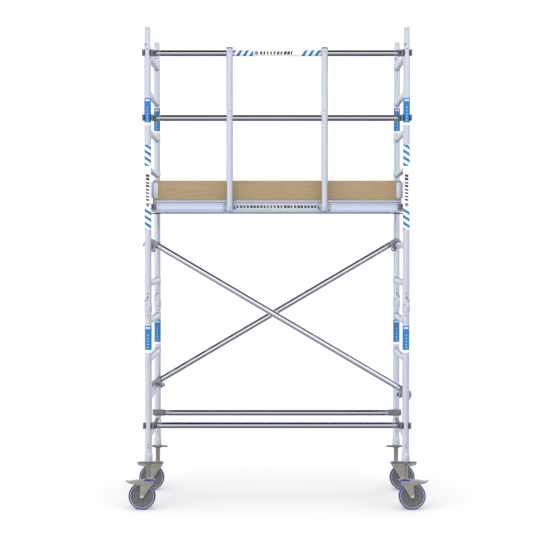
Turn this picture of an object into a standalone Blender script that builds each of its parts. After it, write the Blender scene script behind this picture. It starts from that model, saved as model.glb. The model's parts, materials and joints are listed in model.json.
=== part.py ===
"""Mobile tower scaffold: two lower and two upper ladder frames joined by rails and braces, one platform with a
trapdoor and toe boards, guard rails on the front, and four braked castors on threaded legs.

Metres, +Z up. X runs along the platform, -Y is the guarded front, and the origin is on the floor under the centre.
"""

import math

import bmesh
import bpy
from mathutils import Matrix, Vector

# Frames
POST_X = 0.950
POST_Y = 0.375
POST_R = 0.0255
POST_BORE = 0.0230
SPIGOT_R = 0.0224
SPIGOT_BORE = 0.0200
BELL_R = 0.0295
BELL_HEIGHT = 0.067
SEAT_R = 0.02465
SHOULDER_HEIGHT = 0.022
SPIGOT_LENGTH = 0.139
RUNG_PITCH = 0.280
RUNG_R = 0.0250
RUNG_BORE = 0.0215
FIRST_RUNG = 0.552
LOWER_RUNGS = 4
UPPER_RUNGS = 7
LOWER_BOTTOM = 0.356
LOWER_SHOULDER = 1.453
UPPER_BOTTOM = 1.462
UPPER_SHOULDER = 3.413
PIN_ABOVE_SHOULDER = 0.119
PIN_R = 0.004
PIN_HOLE_R = 0.0044
POST_SIDES = 16
RUNG_SIDES = 10
BORE_SIDES = 8
PIN_SIDES = 8

# Rails and braces
RAIL_R = 0.0225
RAIL_BORE = 0.0200
RAIL_OFFSET = 0.033
RAIL_START = 0.055
RAIL_BORE_START = 0.086
JAW_R = 0.0265
JAW_HALF_HEIGHT = 0.0215
SADDLE_TOP = 0.0118
RAIL_SIDES = 12
LATCH_Y = -0.0215
LATCH_R = 0.0040
LATCH_HOLE_R = 0.00435
TOP_RAIL_Z = 3.366
MIDDLE_RAIL_Z = 2.891
BASE_RAIL_Z = 0.620
BRACE_Y = 0.318
BRACE_HIGH_Z = FIRST_RUNG + 5 * RUNG_PITCH
BRACE_LOW_Z = FIRST_RUNG + RUNG_PITCH

# Stanchions
STANCHION_X = 0.348
STANCHION_Y = -0.390
STANCHION_R = 0.0250
STANCHION_BOTTOM = 2.208
STANCHION_TOP = 3.406

# Platform
PLATFORM_RUNG_Z = FIRST_RUNG + 6 * RUNG_PITCH
BEAM_OUTER_Y = 0.3125
BEAM_BOTTOM = 2.199
BEAM_TOP = 2.286
BEAM_END_X = 0.922
LEDGE_Z = 2.2677
DECK_BOTTOM = 2.2680
DECK_TOP = 2.2800
DECK_X = 0.921
DECK_Y = 0.2815
REBATE = 0.0010
REBATE_X = 0.876
HATCH_X = (-0.800, -0.200)
HATCH_Y = 0.210
HATCH_LEDGE = 0.010
HINGE_Z = DECK_TOP + 0.0028
HINGE_R = 0.0025
HINGE_HOLE_R = 0.0028
LUG_Y = (-0.1525, 0.1525)
LUG_HALF_WIDTH = 0.0075
LUG_TOP = HINGE_Z + 0.0042
END_X = (0.878, 0.912)
HOOK_Y = 0.200
HOOK_R = 0.0330
HOOK_GAP_R = 0.0258
WIND_LOCK_X = 0.900
WIND_LOCK_Z = 2.1965
TOE_BOARD_TOP = 2.433
TOE_BOARD_THICK = 0.018
TOE_BOARD_Y = 0.290
TOE_BOARD_X = 0.880

# Castors; u is the distance outboard of the swivel axis
WHEEL_R = 0.100
WHEEL_TRAIL = 0.049
TYRE_HALF_WIDTH = 0.0245
AXLE_R = 0.0060
FORK_INNER = 0.0290
FORK_THICK = 0.0040
CROWN_BOTTOM = 0.2045
CROWN_TOP = 0.2095
KINGPIN_R = 0.0100
SPINDLE_R = 0.0185
SPINDLE_TOP = 0.700
NUT_BOTTOM = 0.339
NUT_BORE = 0.0196
WING_REACH = 0.078
PEDAL_PIVOT_U = 0.030
PEDAL_PIVOT_Z = 0.198
PEDAL_END_U = 0.166
WHEEL_SIDES = 24
SPINDLE_SIDES = 12

GAP = 0.0003

PARTS = bpy.data.collections.new("mobile_tower_scaffold")
CUTTERS = bpy.data.collections.new("cutters")


def clear_scene():
    for obj in list(bpy.data.objects):
        bpy.data.objects.remove(obj, do_unlink=True)
    for collection in (PARTS, CUTTERS):
        bpy.context.scene.collection.children.link(collection)


def material(name, colour, roughness, metallic):
    made = bpy.data.materials.new(name)
    made.use_nodes = True
    shader = made.node_tree.nodes["Principled BSDF"]
    shader.inputs["Base Color"].default_value = (*colour, 1)
    shader.inputs["Roughness"].default_value = roughness
    shader.inputs["Metallic"].default_value = metallic
    return made


# Objects and primitives


def add_part(name, mesh, finish, origin=(0, 0, 0)):
    """A sub-part from a mesh in world coordinates, with its origin moved to the given point."""
    mesh.transform(Matrix.Translation(-Vector(origin)))
    mesh.materials.clear()
    mesh.materials.append(finish)
    obj = bpy.data.objects.new(name, mesh)
    obj.location = origin
    PARTS.objects.link(obj)
    mesh.shade_smooth()
    mesh.set_sharp_from_angle(angle=math.radians(30))
    return obj


def cutter(name, mesh):
    """A hidden object that a Boolean uses; combine puts it in a collection."""
    obj = bpy.data.objects.new(name, mesh)
    obj.hide_render = True
    obj.display_type = "WIRE"
    return obj


def mesh_of(name, build):
    shape = bmesh.new()
    build(shape)
    mesh = bpy.data.meshes.new(name)
    shape.to_mesh(mesh)
    shape.free()
    return mesh


def box(low, high):
    """A mesh box between two corners."""
    low, high = Vector(low), Vector(high)
    middle, size = (low + high) / 2, high - low
    place = Matrix.Translation(middle) @ Matrix.Diagonal((*size, 1))
    return mesh_of("box", lambda shape: bmesh.ops.create_cube(shape, size=1, matrix=place))


def rod(start, end, radius, sides):
    """A mesh cylinder from start to end."""
    start, end = Vector(start), Vector(end)
    along = end - start
    turn = along.to_track_quat("Z", "Y").to_matrix().to_4x4()
    place = Matrix.Translation((start + end) / 2) @ turn
    return mesh_of(
        "rod",
        lambda shape: bmesh.ops.create_cone(
            shape,
            cap_ends=True,
            segments=sides,
            radius1=radius,
            radius2=radius,
            depth=along.length,
            matrix=place,
        ),
    )


def frame_matrix(origin, x_axis, y_axis):
    """Local x and y axes and their cross product as a placing matrix."""
    x_axis, y_axis = Vector(x_axis).normalized(), Vector(y_axis).normalized()
    z_axis = x_axis.cross(y_axis)
    turn = Matrix((x_axis, y_axis, z_axis)).transposed().to_4x4()
    return Matrix.Translation(origin) @ turn


def plate(outline, thickness, place):
    """A flat outline in the placing matrix's local XY plane, extruded half its thickness each way."""
    curve = bpy.data.curves.new("outline", "CURVE")
    curve.dimensions = "2D"
    curve.fill_mode = "BOTH"
    curve.extrude = thickness / 2
    spline = curve.splines.new("POLY")
    spline.points.add(len(outline) - 1)
    for point, (x, y) in zip(spline.points, outline):
        point.co = (x, y, 0, 1)
    spline.use_cyclic_u = True
    obj = bpy.data.objects.new("outline", curve)
    bpy.context.scene.collection.objects.link(obj)
    graph = bpy.context.evaluated_depsgraph_get()
    mesh = bpy.data.meshes.new_from_object(obj.evaluated_get(graph))
    bpy.data.objects.remove(obj)
    bpy.data.curves.remove(curve)
    shape = bmesh.new()
    shape.from_mesh(mesh)
    bmesh.ops.remove_doubles(shape, verts=shape.verts, dist=0.00001)
    bmesh.ops.recalc_face_normals(shape, faces=shape.faces)
    shape.to_mesh(mesh)
    shape.free()
    mesh.transform(place)
    return mesh


def side_plate(outline, y, thickness):
    """An outline given as (x, z), standing across Y."""
    return plate(outline, thickness, frame_matrix((0, y, 0), (1, 0, 0), (0, 0, 1)))


def arc(radius, start, end, steps, centre=(0, 0)):
    """Points along an arc between two angles in degrees."""
    turns = [math.radians(start + (end - start) * i / steps) for i in range(steps + 1)]
    return [(centre[0] + radius * math.cos(a), centre[1] + radius * math.sin(a)) for a in turns]


def turned(obj, sides):
    """A Screw modifier that turns the object's profile about its own Z axis."""
    screw = obj.modifiers.new("turned", "SCREW")
    screw.steps = screw.render_steps = sides
    screw.use_merge_vertices = True
    screw.merge_threshold = 0.00001
    return obj


def profile_mesh(profile):
    """A chain of edges through (radius, height) points, outer side first and running down. It closes on itself
    unless it starts on the axis."""
    mesh = bpy.data.meshes.new("profile")
    points = [(radius, 0, height) for radius, height in profile]
    edges = [(i, i + 1) for i in range(len(points) - 1)]
    if profile[0][0] > 0:
        edges.append((len(points) - 1, 0))
    mesh.from_pydata(points, edges, [])
    return mesh


def turned_part(name, profile, sides, finish, location):
    obj = bpy.data.objects.new(name, profile_mesh(profile))
    obj.data.materials.append(finish)
    obj.location = location
    PARTS.objects.link(obj)
    return turned(obj, sides)


def turned_cutter(name, profile, sides, location):
    obj = cutter(name, profile_mesh(profile))
    obj.location = location
    return turned(obj, sides)


def half_facet(obj):
    """Turns a post so that a flat, not a corner, faces each rung."""
    obj.rotation_euler.z = math.pi / POST_SIDES
    return obj


def combine(obj, operation, tools):
    """One Boolean modifier with a collection of tools, each a mesh or an object."""
    name = f"{obj.name}_{operation.lower()}"
    group = bpy.data.collections.new(name)
    CUTTERS.children.link(group)
    for number, tool in enumerate(tools):
        if isinstance(tool, bpy.types.Mesh):
            tool = cutter(f"{name}_{number}", tool)
        group.objects.link(tool)
    modifier = obj.modifiers.new(name, "BOOLEAN")
    modifier.operation = operation
    modifier.solver = "EXACT"
    modifier.operand_type = "COLLECTION"
    modifier.collection = group
    return obj


# Ladder frames


def post_profile(bottom, shoulder):
    """The solid outside of a post: spigot, shoulder, tube and bell."""
    top = shoulder + SPIGOT_LENGTH
    return [
        (0, top),
        (SPIGOT_R, top),
        (SPIGOT_R, shoulder + SHOULDER_HEIGHT),
        (POST_R, shoulder),
        (POST_R, bottom + BELL_HEIGHT),
        (BELL_R, bottom + BELL_HEIGHT - 0.016),
        (BELL_R, bottom),
        (0, bottom),
    ]


def bore_profile(bottom, shoulder):
    """The inside of a post, with a cone at the foot that seats on the shoulder below it."""
    top = shoulder + SPIGOT_LENGTH + 0.010
    return [
        (0, top),
        (SPIGOT_BORE, top),
        (SPIGOT_BORE, shoulder + 0.012),
        (POST_BORE, shoulder - 0.010),
        (POST_BORE, bottom + 0.012),
        (SEAT_R, bottom),
        (SEAT_R, bottom - 0.010),
        (0, bottom - 0.010),
    ]


def ladder_frame(name, x, bottom, shoulder, rung_heights, hole_heights, finish):
    front, back = (x, -POST_Y, 0), (x, POST_Y, 0)
    outside = post_profile(bottom, shoulder)
    frame = half_facet(turned_part(name, outside, POST_SIDES, finish, front))
    back_post = half_facet(turned_cutter(f"{name}_back_post", outside, POST_SIDES, back))
    rungs = [rod((x, -POST_Y, z), (x, POST_Y, z), RUNG_R, RUNG_SIDES) for z in rung_heights]
    combine(frame, "UNION", [*rungs, back_post])
    inside = bore_profile(bottom, shoulder)
    bores = [
        half_facet(turned_cutter(f"{name}_bore_{side}", inside, POST_SIDES, place))
        for side, place in (("front", front), ("back", back))
    ]
    rung_bores = [rod((x, -POST_Y, z), (x, POST_Y, z), RUNG_BORE, BORE_SIDES) for z in rung_heights]
    holes = [
        rod((x, y - 0.034, z), (x, y + 0.034, z), PIN_HOLE_R, PIN_SIDES)
        for z in hole_heights
        for y in (-POST_Y, POST_Y)
    ]
    return combine(frame, "DIFFERENCE", [*bores, *rung_bores, *holes])


def ladder_frames(finish):
    heights = [FIRST_RUNG + i * RUNG_PITCH for i in range(LOWER_RUNGS + UPPER_RUNGS)]
    pin_z = LOWER_SHOULDER + PIN_ABOVE_SHOULDER
    top_hole_z = UPPER_SHOULDER + PIN_ABOVE_SHOULDER
    for side, x in (("left", -POST_X), ("right", POST_X)):
        ladder_frame(
            f"lower_frame_{side}",
            x,
            LOWER_BOTTOM,
            LOWER_SHOULDER,
            heights[:LOWER_RUNGS],
            [pin_z],
            finish,
        )
        ladder_frame(
            f"upper_frame_{side}",
            x,
            UPPER_BOTTOM,
            UPPER_SHOULDER,
            heights[LOWER_RUNGS:],
            [pin_z, top_hole_z],
            finish,
        )


def frame_pins(finish):
    """A pin through each frame joint, with a wire tail that clips round the outside of the post."""
    z = LOWER_SHOULDER + PIN_ABOVE_SHOULDER
    for side, x in (("left", -POST_X), ("right", POST_X)):
        outward = math.copysign(1, x)
        for end, y in (("front", -POST_Y), ("back", POST_Y)):
            head_y = y - 0.0315
            pin = add_part(
                f"frame_pin_{end}_{side}",
                rod((x, head_y - 0.003, z), (x, y + 0.030, z), PIN_R, PIN_SIDES),
                finish,
                origin=(x, y, z),
            )
            tail_end = (x + outward * 0.024, head_y, z - 0.034)
            tail = rod((x, head_y, z), tail_end, 0.0018, 4)
            combine(pin, "UNION", [tail])


# Rails and braces, each a tube between two cast claws


def claw_outline():
    """A jaw round a tube at the origin, open towards -y, with its neck along +x."""
    return [
        (-0.0400, -0.0200),
        (-0.0265, -0.0200),
        *arc(JAW_R, 180, 0, 8),
        (0.0265, -0.0280),
        (0.0420, -0.0280),
        (0.0420, -0.0020),
        (0.0480, 0.0070),
        (0.0560, 0.0115),
        (0.0780, 0.0125),
        (0.0780, 0.0540),
        (0.0000, 0.0560),
        (-0.0220, 0.0530),
        (-0.0360, 0.0360),
        (-0.0400, 0.0150),
    ]


def rail(name, ends, finish, latch_finish, saddle=False):
    """A tube between two claws. Each end is a placing matrix whose origin is on the jaw's axis, whose local x runs
    along the tube and whose local y points from the jaw to the tube's side."""
    claws = [plate(claw_outline(), 2 * JAW_HALF_HEIGHT, place) for place in ends]
    obj = add_part(name, claws[0], finish)
    tube_ends = [place @ Vector((RAIL_START, RAIL_OFFSET, 0)) for place in ends]
    bore_ends = [place @ Vector((RAIL_BORE_START, RAIL_OFFSET, 0)) for place in ends]
    combine(obj, "UNION", [claws[1], rod(*tube_ends, RAIL_R, RAIL_SIDES)])
    cuts = [rod(*bore_ends, RAIL_BORE, BORE_SIDES)]
    for place in ends:
        hole = (place @ Vector((0.022, LATCH_Y, 0)), place @ Vector((0.046, LATCH_Y, 0)))
        cuts.append(rod(*hole, LATCH_HOLE_R, 6))
    vent = bore_ends[0].lerp(bore_ends[1], 0.04)
    cuts.append(rod(vent - Vector((0, 0, 0.035)), vent - Vector((0, 0, 0.012)), 0.003, 4))
    if saddle:
        for place in ends:
            x, y, z = place.translation
            low = (x - 0.0275, y + 0.010, z - 0.030)
            high = (x + 0.0275, y + 0.060, z + SADDLE_TOP)
            cuts.append(box(low, high))
    combine(obj, "DIFFERENCE", cuts)
    for side, place in zip(("left", "right"), ends):
        latch(f"{name}_latch_{side}", place, latch_finish)


def latch(name, place, finish):
    """A sprung bolt across the mouth of a claw, and its finger trigger."""
    start = place @ Vector((0.0195, LATCH_Y, 0))
    end = place @ Vector((0.0580, LATCH_Y, 0))
    bolt = add_part(name, rod(start, end, LATCH_R, 6), finish, origin=(start + end) / 2)
    trigger = box((0.0510, LATCH_Y - 0.0030, -0.0032), (0.0590, 0.0020, 0.0032))
    trigger.transform(place)
    combine(bolt, "UNION", [trigger])


def rails_and_braces(finish, latch_finish):
    def level_ends(y, z):
        inward = (0, -math.copysign(1, y), 0)
        return [
            frame_matrix((-POST_X, y, z), (1, 0, 0), inward),
            frame_matrix((POST_X, y, z), (-1, 0, 0), inward),
        ]

    rail("guard_rail_top", level_ends(-POST_Y, TOP_RAIL_Z), finish, latch_finish, saddle=True)
    rail("guard_rail_middle", level_ends(-POST_Y, MIDDLE_RAIL_Z), finish, latch_finish, saddle=True)
    rail("base_rail_front", level_ends(-POST_Y, BASE_RAIL_Z), finish, latch_finish)
    rail("base_rail_back", level_ends(POST_Y, BASE_RAIL_Z), finish, latch_finish)

    rise = BRACE_HIGH_Z - BRACE_LOW_Z
    for name, y, high_side in (("brace_front", -BRACE_Y, -1), ("brace_back", BRACE_Y, 1)):
        down = Vector((-high_side * 2 * POST_X, 0, -rise))
        above = Vector((-high_side * rise, 0, 2 * POST_X))
        high = frame_matrix((high_side * POST_X, y, BRACE_HIGH_Z), down, above)
        low = frame_matrix((-high_side * POST_X, y, BRACE_LOW_Z), -down, above)
        rail(name, [high, low] if high_side < 0 else [low, high], finish, latch_finish)


# Stanchions


def stanchion(name, x, finish):
    """A capped upright in front of the guard rails, with a strap over each rail and a foot on the platform beam."""
    profile = [
        (0, STANCHION_TOP),
        (STANCHION_R - 0.003, STANCHION_TOP),
        (STANCHION_R, STANCHION_TOP - 0.004),
        (STANCHION_R, STANCHION_BOTTOM),
        (STANCHION_R - 0.0025, STANCHION_BOTTOM),
        (STANCHION_R - 0.0025, STANCHION_TOP - 0.006),
        (0, STANCHION_TOP - 0.006),
    ]
    obj = turned_part(name, profile, POST_SIDES, finish, (x, STANCHION_Y, 0))
    strap = [(-0.0270, 0.0275), (-0.0270, 0.0232), *arc(0.0232, 90, -20, 6), *arc(0.0275, -20, 90, 6)]
    rail_y = -POST_Y + RAIL_OFFSET
    straps = [
        plate(strap, 0.020, frame_matrix((x, rail_y, z), (0, 1, 0), (0, 0, 1)))
        for z in (MIDDLE_RAIL_Z, TOP_RAIL_Z)
    ]
    outer = math.copysign(1, x)
    reach = sorted((x - outer * 0.020, x + outer * 0.047))
    foot = box((reach[0], -0.3720, 2.2100), (reach[1], -BEAM_OUTER_Y - GAP, 2.2550))
    combine(obj, "UNION", [*straps, foot])


# Platform


def beam_outline():
    """A side beam's section as (distance in from the outer face, height)."""
    return [
        (0, BEAM_BOTTOM),
        (0.0300, BEAM_BOTTOM),
        (0.0300, BEAM_BOTTOM + 0.0040),
        (0.0040, BEAM_BOTTOM + 0.0040),
        (0.0040, LEDGE_Z - 0.0045),
        (0.0480, LEDGE_Z - 0.0045),
        (0.0480, LEDGE_Z),
        (0.0305, LEDGE_Z),
        (0.0305, BEAM_TOP),
        (0, BEAM_TOP),
    ]


def platform_beams(finish):
    for end, outer in (("front", -1), ("back", 1)):
        outline = [(outer * (BEAM_OUTER_Y - inward), z) for inward, z in beam_outline()]
        place = frame_matrix((0, 0, 0), (0, 1, 0), (0, 0, 1))
        add_part(f"platform_beam_{end}", plate(outline, 2 * BEAM_END_X, place), finish)


def hook_outline(side):
    """A hook over the platform's rung, as (x, z) in world coordinates."""
    points = [
        (-0.0450, -0.0180),
        (-0.0450, 0.0290),
        *arc(HOOK_R, 120, -15, 9),
        *arc(HOOK_GAP_R, -15, 180, 13),
        (-HOOK_GAP_R, -0.0180),
    ]
    return [(side * (POST_X + x), PLATFORM_RUNG_Z + z) for x, z in points]


def platform_ends(finish):
    for name, side in (("left", -1), ("right", 1)):
        inner, outer = sorted((side * END_X[0], side * END_X[1]))
        member = box((inner, -DECK_Y, 2.2060), (outer, DECK_Y, 2.2615))
        obj = add_part(f"platform_end_{name}", member, finish)
        hooks = [side_plate(hook_outline(side), y, 0.012) for y in (-HOOK_Y, HOOK_Y)]
        ear_x = sorted((side * (WIND_LOCK_X - 0.008), side * (WIND_LOCK_X + 0.008)))
        ears = [
            box((ear_x[0], y - 0.002, 2.1890), (ear_x[1], y + 0.002, 2.2100)) for y in (-0.0075, 0.0075)
        ]
        pivot = (side * WIND_LOCK_X, 0, WIND_LOCK_Z)
        pin = rod(*[(pivot[0], y, pivot[2]) for y in (-0.0110, 0.0110)], 0.0025, PIN_SIDES)
        combine(obj, "UNION", [*hooks, *ears, pin])
        hollow_x = sorted((side * (END_X[0] - 0.010), side * (END_X[1] - 0.004)))
        hollow = box((hollow_x[0], -0.2700, 2.2110), (hollow_x[1], 0.2700, 2.2570))
        combine(obj, "DIFFERENCE", [hollow])
        wind_lock(f"wind_lock_{name}", side, pivot, finish)


def wind_lock(name, side, pivot, finish):
    """A catch that swings under the rung, so that the platform can't lift off."""
    points = [*arc(0.0065, 90, 270, 6), (0.0700, -0.0055), (0.0700, 0.0025), (0.0100, 0.0025)]
    outline = [(pivot[0] + side * x, pivot[2] + z) for x, z in points]
    obj = add_part(name, side_plate(outline, 0, 0.0090), finish, origin=pivot)
    hole = rod(*[(pivot[0], y, pivot[2]) for y in (-0.02, 0.02)], 0.0032, PIN_SIDES)
    combine(obj, "DIFFERENCE", [hole])


def deck(finish):
    """The plywood deck with a ledge round its hatch, and lugs that hold the trapdoor's hinge pin.

    Its top is rebated under the hinge pin and under the side toe boards, so nothing overhangs the walking face.
    """
    obj = add_part("deck_panel", box((-DECK_X, -DECK_Y, DECK_BOTTOM), (DECK_X, DECK_Y, DECK_TOP)), finish)
    low_x, high_x = HATCH_X
    ledge = box(
        (low_x - 0.0120, -HATCH_Y - 0.0120, DECK_BOTTOM - 0.0060),
        (high_x + 0.0120, HATCH_Y + 0.0120, DECK_BOTTOM + 0.0010),
    )
    combine(obj, "UNION", [ledge])
    hatch = box((low_x, -HATCH_Y, DECK_BOTTOM), (high_x, HATCH_Y, DECK_TOP + 0.0100))
    through = box(
        (low_x + HATCH_LEDGE, -HATCH_Y + HATCH_LEDGE, DECK_BOTTOM - 0.0200),
        (high_x - HATCH_LEDGE, HATCH_Y - HATCH_LEDGE, DECK_BOTTOM + 0.0050),
    )
    rebates = [
        box((-DECK_X - 0.01, -DECK_Y - 0.01, DECK_TOP - REBATE), (-REBATE_X, DECK_Y + 0.01, DECK_TOP + 0.01)),
        box((REBATE_X, -DECK_Y - 0.01, DECK_TOP - REBATE), (DECK_X + 0.01, DECK_Y + 0.01, DECK_TOP + 0.01)),
        box((high_x - 0.0010, -0.1650, DECK_TOP - REBATE), (high_x + 0.0040, 0.1650, DECK_TOP + 0.01)),
    ]
    combine(obj, "DIFFERENCE", [hatch, through, *rebates])
    lugs = []
    for y in LUG_Y:
        low_y, high_y = y - LUG_HALF_WIDTH, y + LUG_HALF_WIDTH
        lugs.append(box((high_x + 0.0008, low_y, DECK_TOP - 0.0030), (high_x + 0.0150, high_y, LUG_TOP)))
        lugs.append(box((high_x - 0.0040, low_y, DECK_TOP + GAP), (high_x + 0.0150, high_y, LUG_TOP)))
    combine(obj, "UNION", lugs)
    bore = rod((high_x, -0.170, HINGE_Z), (high_x, 0.170, HINGE_Z), HINGE_HOLE_R, PIN_SIDES)
    return combine(obj, "DIFFERENCE", [bore])


def trapdoor(finish):
    """The hatch's door, in one body with its hinge leaf and pin."""
    low_x, high_x = HATCH_X
    panel = box(
        (low_x + 0.0020, -HATCH_Y + 0.0020, DECK_BOTTOM + GAP), (high_x - 0.0025, HATCH_Y - 0.0020, DECK_TOP)
    )
    obj = add_part("trapdoor", panel, finish, origin=(high_x, 0, HINGE_Z))
    notches = [
        box((high_x - 0.0120, y - 0.0100, DECK_BOTTOM - 0.01), (high_x + 0.0010, y + 0.0100, DECK_TOP + 0.01))
        for y in LUG_Y
    ]
    finger_x = low_x + 0.060
    finger = box((finger_x, -0.050, DECK_BOTTOM - 0.01), (finger_x + 0.030, 0.050, DECK_TOP + 0.01))
    combine(obj, "DIFFERENCE", [*notches, finger])
    pin = rod((high_x, -0.158, HINGE_Z), (high_x, 0.158, HINGE_Z), HINGE_R, PIN_SIDES)
    leaf = box((high_x - 0.0300, -0.1400, DECK_TOP - 0.0010), (high_x - 0.0005, 0.1400, DECK_TOP + 0.0022))
    return combine(obj, "UNION", [pin, leaf])


def toe_boards(finish):
    for end, outer in (("front", -1), ("back", 1)):
        y = sorted((outer * TOE_BOARD_Y, outer * (TOE_BOARD_Y + TOE_BOARD_THICK)))
        board = box((-DECK_X, y[0], BEAM_TOP + GAP), (DECK_X, y[1], TOE_BOARD_TOP))
        add_part(f"toe_board_{end}", board, finish)
    for name, side in (("left", -1), ("right", 1)):
        x = sorted((side * TOE_BOARD_X, side * (TOE_BOARD_X + TOE_BOARD_THICK)))
        reach = TOE_BOARD_Y - 0.0010
        board = box((x[0], -reach, BEAM_TOP + GAP), (x[1], reach, TOE_BOARD_TOP))
        foot = box((x[0] + 0.003, -0.2600, DECK_TOP - REBATE + GAP), (x[1] - 0.003, 0.2600, BEAM_TOP + 0.010))
        combine(add_part(f"toe_board_{name}", board, finish), "UNION", [foot])


# Castors


def leg(name, x, y, finish):
    """The threaded spindle, with its swivel head and the kingpin that holds the fork."""
    profile = [
        (0, SPINDLE_TOP),
        (SPINDLE_R - 0.0030, SPINDLE_TOP),
        (SPINDLE_R, SPINDLE_TOP - 0.006),
        (SPINDLE_R, 0.2270),
        (0.0260, 0.2200),
        (0.0260, CROWN_TOP + GAP),
        (KINGPIN_R, CROWN_TOP + GAP),
        (KINGPIN_R, CROWN_BOTTOM - GAP),
        (0.0140, CROWN_BOTTOM - GAP),
        (0.0140, 0.1980),
        (0, 0.1980),
    ]
    return turned_part(name, profile, SPINDLE_SIDES, finish, (x, y, 0))


def adjusting_nut(name, x, y, finish):
    """A nut that turns under the post's bell: a collar inside the bell and two wings."""
    top = LOWER_BOTTOM - GAP
    body = rod((x, y, NUT_BOTTOM), (x, y, top), 0.0320, SPINDLE_SIDES)
    obj = add_part(name, body, finish, origin=(x, y, NUT_BOTTOM))
    collar = rod((x, y, NUT_BOTTOM + 0.004), (x, y, top + 0.016), 0.0221, SPINDLE_SIDES)
    wings = [
        box((x + s[0], y - 0.006, NUT_BOTTOM + 0.002), (x + s[1], y + 0.006, top - 0.001))
        for s in ((-WING_REACH, -0.026), (0.026, WING_REACH))
    ]
    combine(obj, "UNION", [collar, *wings])
    bore = rod((x, y, NUT_BOTTOM - 0.01), (x, y, top + 0.03), NUT_BORE, SPINDLE_SIDES)
    return combine(obj, "DIFFERENCE", [bore])


def fork(name, x, y, side, finish):
    """Two side plates on a crown, with the axle bolt and the pedal's pivot pins."""
    axle = (WHEEL_TRAIL, WHEEL_R)
    points = [
        (-0.0330, CROWN_TOP - 0.0007),
        (-0.0330, 0.1900),
        (-0.0180, 0.1730),
        *arc(0.0160, 205, 350, 6, axle),
        (0.0590, 0.1700),
        (0.0450, CROWN_TOP - 0.0007),
    ]
    outline = [(x + side * u, z) for u, z in points]
    middle = FORK_INNER + FORK_THICK / 2
    obj = add_part(name, side_plate(outline, y - middle, FORK_THICK), finish, origin=(x, y, CROWN_TOP))
    crown_x = sorted((x - side * 0.0320, x + side * 0.0440))
    crown_y = FORK_INNER + 0.0030
    crown = box((crown_x[0], y - crown_y, CROWN_BOTTOM), (crown_x[1], y + crown_y, CROWN_TOP))
    axle_x, pivot_x = x + side * WHEEL_TRAIL, x + side * PEDAL_PIVOT_U
    other = side_plate(outline, y + middle, FORK_THICK)
    bolt = rod((axle_x, y - 0.040, WHEEL_R), (axle_x, y + 0.040, WHEEL_R), AXLE_R, PIN_SIDES)
    heads, pins = [], []
    for way in (-1, 1):
        head = sorted((y + way * 0.0325, y + way * 0.0480))
        heads.append(rod((axle_x, head[0], WHEEL_R), (axle_x, head[1], WHEEL_R), 0.0110, 6))
        pin = (y + way * 0.0310, y + way * 0.0405)
        pins.append(rod((pivot_x, pin[0], PEDAL_PIVOT_Z), (pivot_x, pin[1], PEDAL_PIVOT_Z), 0.0035, 8))
    combine(obj, "UNION", [crown, other, bolt, *heads, *pins])
    bore = rod((x, y, CROWN_BOTTOM - 0.01), (x, y, CROWN_TOP + 0.01), KINGPIN_R + 0.0008, SPINDLE_SIDES)
    return combine(obj, "DIFFERENCE", [bore])


def wheel(name, x, y, side, finish):
    """A wheel turned about Y, with flats rather than a corner on the floor."""
    facet = 1 / math.cos(math.pi / WHEEL_SIDES)
    half = [
        (AXLE_R + 2 * GAP, 0.0275),
        (0.0200, 0.0275),
        (0.0240, 0.0130),
        (0.0860, 0.0140),
        (0.0900 * facet, TYRE_HALF_WIDTH),
        (WHEEL_R * facet, 0.0180),
    ]
    loop = half + [(radius, -height) for radius, height in reversed(half)]
    obj = turned_part(name, loop, WHEEL_SIDES, finish, (x + side * WHEEL_TRAIL, y, WHEEL_R))
    obj.rotation_euler = (math.radians(90), math.radians(180 / WHEEL_SIDES), 0)
    return obj


def brake_pedal(name, x, y, side, finish):
    """A rocking channel over the fork: press the long outer end to brake and the short inner end to release."""
    strip = [
        (-0.0450, 0.2135),
        (0.0850, 0.2135),
        (PEDAL_END_U, 0.2035),
        (PEDAL_END_U, 0.2070),
        (0.0850, 0.2170),
        (-0.0450, 0.2170),
    ]
    skirt = [
        (-0.0400, 0.2150),
        (-0.0400, 0.2040),
        (0.0000, 0.1900),
        (0.0600, 0.1810),
        (0.1040, 0.1900),
        (0.1500, 0.2020),
        (0.1500, 0.2070),
        (0.0850, 0.2150),
    ]
    strip = [(x + side * u, z) for u, z in strip]
    skirt = [(x + side * u, z) for u, z in skirt]
    pivot = (x + side * PEDAL_PIVOT_U, y, PEDAL_PIVOT_Z)
    obj = add_part(name, side_plate(strip, y, 0.0780), finish, origin=pivot)
    skirts = [side_plate(skirt, y + way * 0.0378, 0.0030) for way in (-1, 1)]
    shoe_x = sorted((x + side * 0.060, x + side * 0.078))
    shoe = box((shoe_x[0], y - 0.014, 0.2085), (shoe_x[1], y + 0.014, 0.2150))
    combine(obj, "UNION", [*skirts, shoe])
    window_x = sorted((x - side * 0.0310, x + side * 0.0310))
    window = box((window_x[0], y - 0.0290, 0.2100), (window_x[1], y + 0.0290, 0.2200))
    pin_hole = rod((pivot[0], y - 0.05, pivot[2]), (pivot[0], y + 0.05, pivot[2]), 0.0040, 8)
    return combine(obj, "DIFFERENCE", [window, pin_hole])


def castors(zinc, wheel_finish, pedal_finish):
    for side_name, side in (("left", -1), ("right", 1)):
        for end, y in (("front", -POST_Y), ("back", POST_Y)):
            x = side * POST_X
            corner = f"{end}_{side_name}"
            leg(f"castor_leg_{corner}", x, y, zinc)
            adjusting_nut(f"adjusting_nut_{corner}", x, y, zinc)
            fork(f"castor_fork_{corner}", x, y, side, zinc)
            wheel(f"castor_wheel_{corner}", x, y, side, wheel_finish)
            brake_pedal(f"brake_pedal_{corner}", x, y, side, pedal_finish)


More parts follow.
